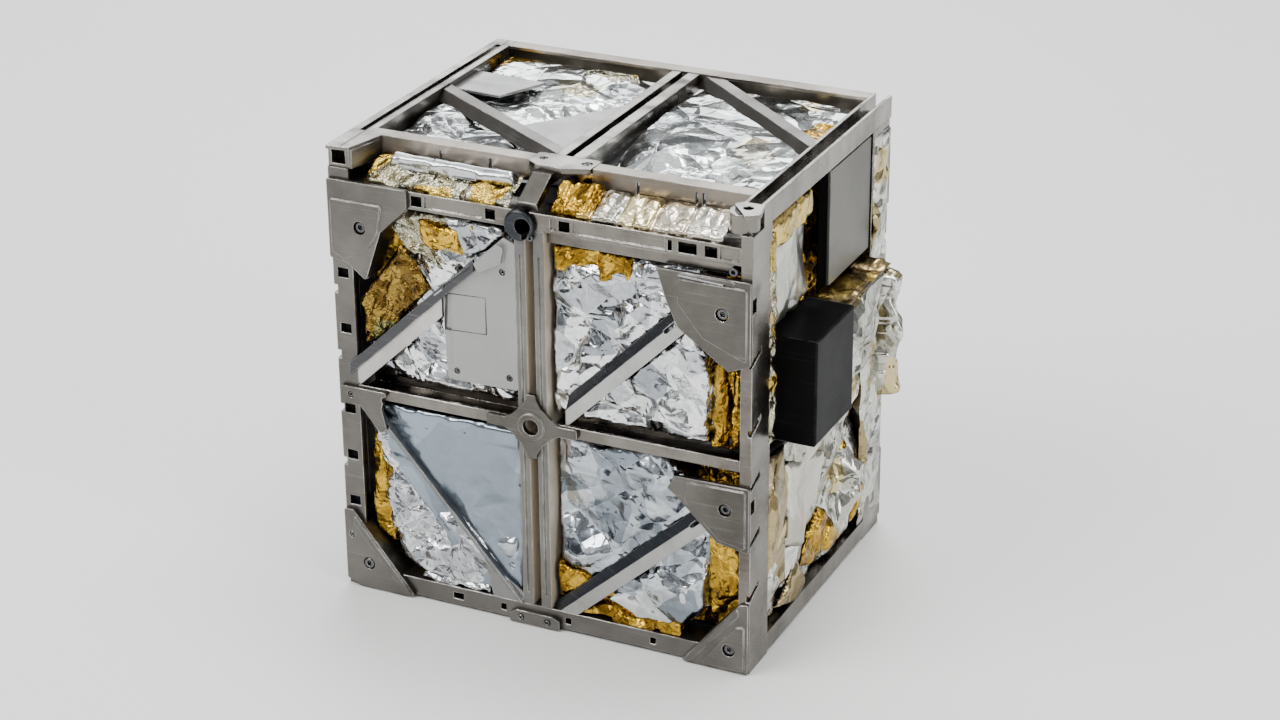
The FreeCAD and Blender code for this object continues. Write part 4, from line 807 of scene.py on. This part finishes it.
# each sheet, by the node that it stands for: its outline on its face in mm, and its seat and crown
bayFoils = {
    "foil_upper_left": {
        "silverUpperLeft": {
            "outline": [
                (-44.4, 52.6), (-5.4, 52.6), (-5.4, 94.6), (-33, 94.6), (-37.5, 88.5), (-42, 74.5),
                (-44.6, 72),
            ],
            "depth": (34.2, 35.4), "folds": fanFolds, "look": "silverFoil", "seed": 11,
        },
        "goldFlap": {
            "outline": [(-44.0, 60.6), (-40.0, 62.0), (-26.4, 76.6), (-33.6, 86.6), (-44.9, 71.0)],
            "depth": (36.6, 38.2), "folds": flapFolds, "look": "oldGoldFoil", "seed": 13, "soft": 0.7,
        },
        "paleUpperLeft": {
            "outline": [
                (-36.5, 90.0), (-33.0, 85.0), (-22.0, 79.5), (-12.5, 87.0), (-12.5, 94.8), (-35.0, 94.8),
            ],
            "depth": (35.0, 36.6), "folds": fanFolds, "look": "paleGoldFoil", "seed": 16,
        },
        "goldUpperLeft": {
            "outline": [(-29.5, 93.6), (-28.5, 86.4), (-19.0, 83.6), (-19.5, 91.6)],
            "depth": (36.0, 37.6), "folds": shardFolds, "look": "goldFoil", "seed": 18, "soft": 0.7,
        },
        "silverUpperLeftTop": {
            "outline": [(-23.0, 94.6), (-18.0, 85.5), (-9.0, 89.8), (-8.0, 94.6)],
            "depth": (35.8, 37.4), "folds": shardFolds, "look": "silverFoil", "seed": 19, "soft": 0.7,
        },
    },
    "foil_upper_right": {
        "silverUpperRight": {
            "outline": [(2.3, 52.4), (39.6, 52.2), (39.8, 72.8), (30.5, 85.4), (21.0, 88.6), (2.3, 88.6)],
            "depth": (35.0, 37.3), "folds": bigFolds, "look": "silverFoil", "seed": 23,
        },
        "goldUpperRightTop": {
            "outline": [(2.3, 85.0), (22.0, 85.5), (22.0, 92.6), (2.3, 92.6)],
            "depth": (34.4, 36.6), "folds": goldFolds, "look": "goldFoil", "seed": 26,
        },
        "paleUpperRight": {
            "outline": [(20.0, 86.0), (33.0, 80.5), (38.0, 80.5), (38.0, 92.6), (20.0, 92.6)],
            "depth": (34.2, 36.4), "folds": roughFolds, "look": "fineFoil", "seed": 29,
        },
        "goldUpperRightSide": {
            "outline": [(39.3, 51.8), (43.2, 51.8), (42.6, 73.0), (39.3, 73.0)],
            "depth": (35.0, 37.0), "folds": goldFolds, "look": "goldFoil", "seed": 27,
        },
        "goldUpperRightPost": {
            "outline": [(43.4, 51.8), (47.2, 51.8), (47.2, 70.0), (44.0, 70.0)],
            "depth": (34.4, 36.6), "folds": goldFolds, "look": "goldFoil", "seed": 28,
        },
    },
    "foil_lower_left": {
        "smoothLowerLeft": {
            "outline": [(-17.0, 5.6), (-5.4, 5.6), (-5.4, 47.6), (-42.5, 47.6), (-44.4, 41.0)],
            "depth": (37.0, 38.3), "folds": softFolds, "rolls": ((45.2, 2.8, 0.5),), "look": "smoothFoil",
            "seed": 31,
        },
        "fineLowerLeft": {
            "outline": [
                (-37.0, 8.5), (-27.0, 5.6), (-5.6, 5.6), (-7.4, 9.4), (-39.6, 45.0), (-42.6, 46.4),
                (-40.0, 21.0),
            ],
            "depth": (36.0, 38.1), "folds": roughFolds, "look": "fineFoil", "seed": 34,
        },
        "silverLowerLeftLow": {
            "outline": [(-7.4, 7.6), (-5.4, 7.6), (-5.4, 21.0), (-13.0, 27.0), (-23.0, 26.6)],
            "depth": (36.4, 38.0), "folds": roughFolds, "look": "blueFoil", "seed": 35, "soft": 3.5,
        },
        "goldLowerLeft": {
            "outline": [(-44.6, 14.0), (-38.5, 9.0), (-37.2, 18.0), (-40.6, 41.0), (-44.6, 44.5)],
            "depth": (31.0, 36.2), "folds": goldFolds, "look": "goldFoil", "seed": 37,
        },
    },
    "foil_lower_right": {
        "silverLowerRight": {
            "outline": [
                (16.0, 10.5), (24.0, 7.0), (34.0, 7.4), (39.2, 13.0), (39.2, 30.0), (35.5, 40.5),
                (30.0, 47.5), (3.0, 47.5), (3.0, 17.5),
            ],
            "depth": (35.6, 37.0), "folds": bigFolds, "look": "blueFoil", "seed": 45,
        },
        "silverLowerRightFold": {
            "outline": [
                (15.0, 10.0), (22.0, 6.6), (32.0, 7.2), (35.0, 12.0), (35.0, 17.5), (25.0, 20.0),
                (18.5, 15.5),
            ],
            "depth": (36.7, 38.2), "folds": bandFolds, "look": "smoothSilver", "seed": 46, "soft": 0.8,
        },
        "goldLowerRightSide": {
            "outline": [(38.8, 9.0), (47.0, 17.5), (47.0, 31.0), (38.8, 31.0)],
            "depth": (34.4, 36.8), "folds": goldFolds, "look": "goldFoil", "seed": 47,
        },
        "goldLowerRightCorner": {
            "outline": [(2.3, 5.4), (34.0, 5.4), (34.0, 8.0), (17.0, 13.0), (2.3, 17.0)],
            "depth": (34.4, 36.4), "folds": goldFolds, "look": "goldFoil", "seed": 48,
        },
    },
}
# the foil that spills over the bottom rail, seen from above
footFoils = {
    "silverFootLeft": (box((-31.0, -13.5), (-38.4, -31.2)), "fineFoil", 38),
    "goldFootRight": (box((9.5, 33.5), (-38.4, -31.2)), "goldFoil", 49),
}
# the gold foil at the bottom of each bay
bays = {
    "UpperLeft": box((-44.7, -5.2), (51.5, 95.3)),
    "UpperRight": box((2.3, 47.2), (51.5, 95.3)),
    "LowerLeft": box((-44.7, -5.2), (5.3, 48.3)),
    "LowerRight": box((2.3, 47.2), (5.3, 48.3)),
}
# the folded strips that cross the right bays, end to end
crossing = {
    "foil_upper_right": [((6.6, 56.8), (33.3, 84.1))],
    "foil_lower_right": [((3.6, 7.2), (36.7, 35.6))],
}
# the sheets that the back has too, and what differs there
backFoils = ("silverUpperLeft", "silverUpperRight", "smoothLowerLeft", "fineLowerLeft", "silverLowerRight")
backChange = {"face": "back", "stands": "foil_back", "step": 0.6}
backSeed = 130
bayLimit = 38.5

for node, sheets in bayFoils.items():
    for name, sheet in sheets.items():
        held = {"face": "front", "stands": node, "limit": bayLimit, "pressed": crossing.get(node, ())}
        foilSheet(name, held | sheet)
for i, (name, outline) in enumerate(bays.items()):
    for face, node, seed in (("front", "foil_front_base", 60), ("back", "foil_back_base", 90)):
        foilSheet(face + "Gold" + name, {
            "face": face, "outline": outline, "depth": (28.9, 31.8), "folds": goldFolds, "look": "goldFoil",
            "seed": seed + 7 * i, "stands": node, "soft": 1.0, "step": 0.7,
        })
for node, sheets in bayFoils.items():
    for name in backFoils:
        if name in sheets:
            held = {"limit": bayLimit, "pressed": crossing.get(node, ())}
            seed = {"seed": sheets[name]["seed"] + backSeed}
            foilSheet(name + "Back", sheets[name] | backChange | held | seed)
for name, (outline, look, seed) in footFoils.items():
    foilSheet(name, {
        "face": "top", "outline": outline, "depth": (5.3, 7.6), "folds": roughFolds, "look": look,
        "seed": seed, "stands": "foil_front_base",
    })
print("bay foils made")

# the other sheets: face, outline in mm, look, folds, seed, and the node each stands for
otherFoils = {
    "rightTall": ("right", box((-28.5, 0.2), (74.8, 101.3)), "softFoil", tallFolds, 201, "foil_right_upper"),
    "rightTallTop": (
        "right", box((-28.4, 0.4), (94.0, 101.4)), "flapFoil", edgeFolds, 202, "foil_right_upper",
    ),
    "rightPostFoil": (
        "right", box((-30.3, -26.0), (51.0, 99.0)), "paleGoldFoil", edgeFolds, 203, "foil_right_upper",
    ),
    "rightRearWrap": (
        "right", box((29.6, 38.6), (70.0, 101.0)), "patchFoil", edgeFolds, 204, "foil_right_flap",
    ),
    "rightRearLow": (
        "right", box((25.2, 38.8), (5.5, 66.0)), "moduleFoil", edgeFolds, 205, "foil_right_flap",
    ),
    "rightNarrow": (
        "right", box((-28.5, -24.1), (49.1, 74.2)), "patchFoil", calmFolds, 211, "foil_right_upper",
    ),
    "rightLower": (
        "right", box((-28.4, 28.4), (5.4, 48.2)), "patchFoil", shardFolds, 221, "foil_right_lower",
    ),
    "rightBrown": (
        "right", box((-28.4, -18.5), (13.0, 46.5)), "brownFoil", panelFolds, 222, "foil_right_lower",
    ),
    "rightBeige": (
        "right", [(-11.0, 18.0), (0.6, 20.5), (1.4, 36.5), (-19.0, 42.0), (-19.4, 22.0)], "beigeFoil",
        panelFolds, 223, "foil_right_lower",
    ),
    "rightShard": (
        "right", [(-9.5, 12.0), (0.0, 7.6), (13.4, 9.0), (8.0, 17.5), (3.0, 21.0)], "goldFoil", shardFolds,
        224, "foil_right_lower",
    ),
    "rightShardLow": (
        "right", [(-23.0, 8.0), (-16.0, 5.8), (-9.5, 9.4), (-13.0, 16.5)], "brownFoil", shardFolds, 225,
        "foil_right_lower",
    ),
    "rightShardRear": (
        "right", [(20.0, 9.0), (27.6, 7.0), (28.2, 16.5), (20.6, 19.0)], "goldFoil", shardFolds, 226,
        "foil_right_lower",
    ),
    "rightModule": (
        "right", box((-1.3, 28.4), (49.8, 71.2)), "moduleFoil", shardFolds, 231, "foil_right_module",
    ),
    "rightTail": ("right", box((33.0, 38.8), (36.3, 66.7)), "patchFoil", roughFolds, 236, "foil_right_flap"),
    "rightFlap": ("shelf", box((-1.3, 28.4), (-1.0, 7.8)), "flapFoil", roughFolds, 238, "foil_right_flap"),
    "rightGold": ("right", box((-28.5, 28.5), (5.3, 101.4)), "goldFoil", roughFolds, 241, "foil_side_base"),
    "leftGold": ("left", box((-28.5, 28.5), (5.3, 101.4)), "goldFoil", roughFolds, 251, "foil_side_base"),
    "leftUpper": ("left", box((-28.4, 28.4), (52.4, 73.8)), "silverFoil", sideFolds, 261, "foil_left"),
    "leftLower": ("left", box((-28.4, 28.4), (5.4, 50.0)), "silverFoil", sideFolds, 271, "foil_left"),
    "deckLeft": ("top", box((-44.6, -2.9), (-23.6, 36.2)), "deckFoil", deckFolds, 301, "foil_deck"),
    "deckRight": ("top", box((4.9, 45.0), (-23.6, 36.2)), "deckFoil", deckFolds, 311, "foil_deck"),
    "deckGoldRear": ("top", box((-44.6, -33.0), (28.0, 36.0)), "goldFoil", shardFolds, 303, "foil_deck"),
    "deckGoldMiddle": (
        "top", [(-24.0, 33.0), (-15.0, 30.0), (-9.0, 36.0), (-23.0, 36.0)], "paleGoldFoil", shardFolds, 304,
        "foil_deck",
    ),
    "deckGoldSide": (
        "top", [(37.0, 15.0), (45.0, 9.0), (45.0, 24.0), (39.0, 23.0)], "goldFoil", shardFolds, 313,
        "foil_deck",
    ),
    "underLeft": ("under", box((3.8, 43.8), (-28.3, 28.3)), "silverFoil", sideFolds, 321, "foil_base"),
    "underRight": ("under", box((-43.8, -3.8), (-28.3, 28.3)), "silverFoil", sideFolds, 331, "foil_base"),
}
# how far the sheets that lie on another one rise over it
risen = {
    "rightTallTop": 0.7, "rightBrown": 0.6, "rightBeige": 0.9, "rightShard": 1.3, "rightShardLow": 0.9,
    "rightShardRear": 0.9, "deckLeft": 1.6, "deckRight": 1.6, "deckGoldRear": 2.4, "deckGoldMiddle": 2.4,
    "deckGoldSide": 2.4,
}
# those that lie over the posts have their own seat and crown
overPosts = {"rightPostFoil": (49.8, 50.5), "rightRearWrap": (50.1, 50.7), "rightRearLow": (50.1, 50.8)}
deckChange = {"limit": 105.4, "soft": 0.8}

for name, (face, outline, look, folds, seed, node) in otherFoils.items():
    sheet = {
        "face": face, "outline": outline, "look": look, "folds": folds, "seed": seed, "stands": node,
        "step": 0.6, "rise": risen.get(name, 0),
    }
    if face == "top":
        sheet.update(deckChange)
    if name in overPosts:
        sheet["depth"] = overPosts[name]
    foilSheet(name, sheet)

# the wrapping along the top of the front, between the frame and the deck, and its match at the back
edgeFoils = {
    "edgeLeft": {
        "outline": box((-41.5, -6.3), (29.3, 38.9)), "look": "paleGoldFoil", "folds": edgeFolds, "seed": 403,
    },
    "edgeRoll": {
        "outline": box((-37.4, -7.0), (34.3, 38.7)), "look": "smoothSilver", "folds": rollFolds, "seed": 433,
        "rolls": ((36.5, 2.2, 1.5),), "rise": 0.9,
    },
    "edgeRight": {
        "outline": box((9.3, 42.9), (29.3, 38.9)), "look": "tileFoil", "folds": tileFolds, "seed": 411,
        "seams": (12.3, 18.6, 26.4, 34.1),
    },
    "edgeGold": {
        "outline": box((2.4, 12.4), (29.6, 38.6)), "look": "goldFoil", "folds": edgeFolds, "seed": 415,
        "depth": (101.6, 103.6), "seams": (5.6,),
    },
    "edgeBack": {
        "face": "top", "outline": box((-44.7, 44.7), (28.8, 38.3)), "look": "paleGoldFoil",
        "folds": calmFolds, "seed": 421, "step": 0.7, "ragged": 0.2,
    },
}
for name, sheet in edgeFoils.items():
    foilSheet(name, {"face": "brow", "stands": "foil_edge", "step": 0.35} | sheet)
print("side, deck and base foils made")

# screws: the place of each on its face in mm, its radius, and how far out its head's top lies
frontScrews = (
    (-42.0, 89.7, 1.5, 39.9), (43.7, 84.7, 1.5, 39.9), (44.6, 39.6, 1.5, 39.9), (-44.1, 6.6, 1.5, 39.9),
    (45.7, 5.6, 1.5, 39.9), (-46.6, 48.9, 0.8, 39.8), (-48.2, 13.3, 0.8, 39.8), (-8.0, 84.7, 0.8, 38.7),
    (-6.9, 60.0, 0.8, 38.7), (-19.8, 59.4, 0.8, 38.7), (-5.2, 1.8, 0.8, 40.2), (1.4, 1.8, 0.8, 40.2),
    (-0.7, 94.1, 0.9, 39.9), (45.7, 94.1, 1.2, 39.2),
)
topScrews = ((-3.5, -27.2, 0.9, 107.1), (6.6, -26.8, 1.2, 107.1))
screws = [(face, *screw) for face in ("front", "back") for screw in frontScrews]
screws += [("top", *screw) for screw in topScrews]
screwForm = {"fit": 0.82, "length": 1.2, "rim": 0.12, "socket": 0.5, "lip": 0.03, "depth": 0.7, "sides": 24}


def addScrew(bm, face, u, v, radius, top):
    across, upward, outward = (Vector(axis) for axis in faces[face])
    head = radius * screwForm["fit"]
    rim = screwForm["rim"]
    turn = Matrix((across, upward, outward)).transposed().to_4x4()
    place = across * u + upward * v + outward * (top - screwForm["length"] / 2)
    made = bmesh.ops.create_cone(
        bm, cap_ends=True, segments=screwForm["sides"], radius1=head * mm, radius2=head * mm,
        depth=screwForm["length"] * mm, matrix=Matrix.Translation(place * mm) @ turn,
    )
    sides = {f for vert in made["verts"] for f in vert.link_faces}
    cap = max(sides, key=lambda f: f.calc_center_median().dot(outward))
    bmesh.ops.inset_region(bm, faces=[cap], thickness=rim * mm, depth=rim * mm)
    bmesh.ops.inset_region(bm, faces=[cap], thickness=head * (1 - screwForm["socket"]) * mm - rim * mm)
    bmesh.ops.inset_region(bm, faces=[cap], thickness=screwForm["lip"] * mm, depth=-screwForm["depth"] * mm)


# rods on the front, each from one end to the other in (x, z), with its radius and how far out it lies
frontRods = (((33.9, 91.9), (44.0, 91.4), 0.38, 40.2), ((-24.3, 76.9), (-22.3, 78.7), 0.55, 39.5))
# thin lines round a blank square on the cover plate
etchedSquare = {
    "corners": ((-21.9, 77.5), (-12.3, 78.0), (-12.2, 69.4), (-22.4, 68.9)), "radius": 0.14, "out": 38.94,
}
corners = etchedSquare["corners"]
etchedLines = [
    (start, end, etchedSquare["radius"], etchedSquare["out"])
    for start, end in zip(corners[-1:] + corners[:-1], corners)
]
# dark blocks for the painted shade seen through the slots of the front's left post, and of the post
# diagonally across from it
slotShadowBlocks = {"x": (-49.1, -45.4), "y": (-37.9, -37.7), "half": 1.7, "heights": (77.8, 64.5, 44.8, 33.3, 21.7)}
# a dark strip for the painted shadow in the upright gap beside the radiator plate, in x, y and z
gapShadowStrip = ((48.7, 49.0), (-0.6, 4.4), (75.0, 101.2))


def addRod(bm, start, end, radius, out):
    a, b = (Vector((x, -out, z)) * mm for x, z in (start, end))
    turn = (b - a).to_track_quat("Z", "Y").to_matrix().to_4x4()
    bmesh.ops.create_cone(bm, cap_ends=True, segments=12, radius1=radius * mm, radius2=radius * mm,
                          depth=(b - a).length, matrix=Matrix.Translation((a + b) / 2) @ turn)


def addBlock(bm, *spans):
    middle = Vector([sum(span) / 2 for span in spans]) * mm
    scale = Matrix.Diagonal((*((high - low) * mm for low, high in spans), 1))
    bmesh.ops.create_cube(bm, size=1, matrix=Matrix.Translation(middle) @ scale)


def slotSpans():
    for side in (1, -1):
        x, y = (sorted(side * place for place in slotShadowBlocks[axis]) for axis in ("x", "y"))
        for z in slotShadowBlocks["heights"]:
            yield x, y, (z - slotShadowBlocks["half"], z + slotShadowBlocks["half"])


def makeTrim(name, look, add, rows):
    bm = bmesh.new()
    for row in rows:
        add(bm, *row)
    makePiece(name, bm, look)


makeTrim("screws", "steel", addScrew, screws)
makeTrim("slotShadowBlocks", "black_box", addBlock, slotSpans())
makeTrim("rods", "brace", addRod, frontRods)
makeTrim("etchedLines", "dark_metal", addRod, etchedLines)
makeTrim("gapShadowStrip", "shadow", addBlock, [gapShadowStrip])
print("screws and trim made")
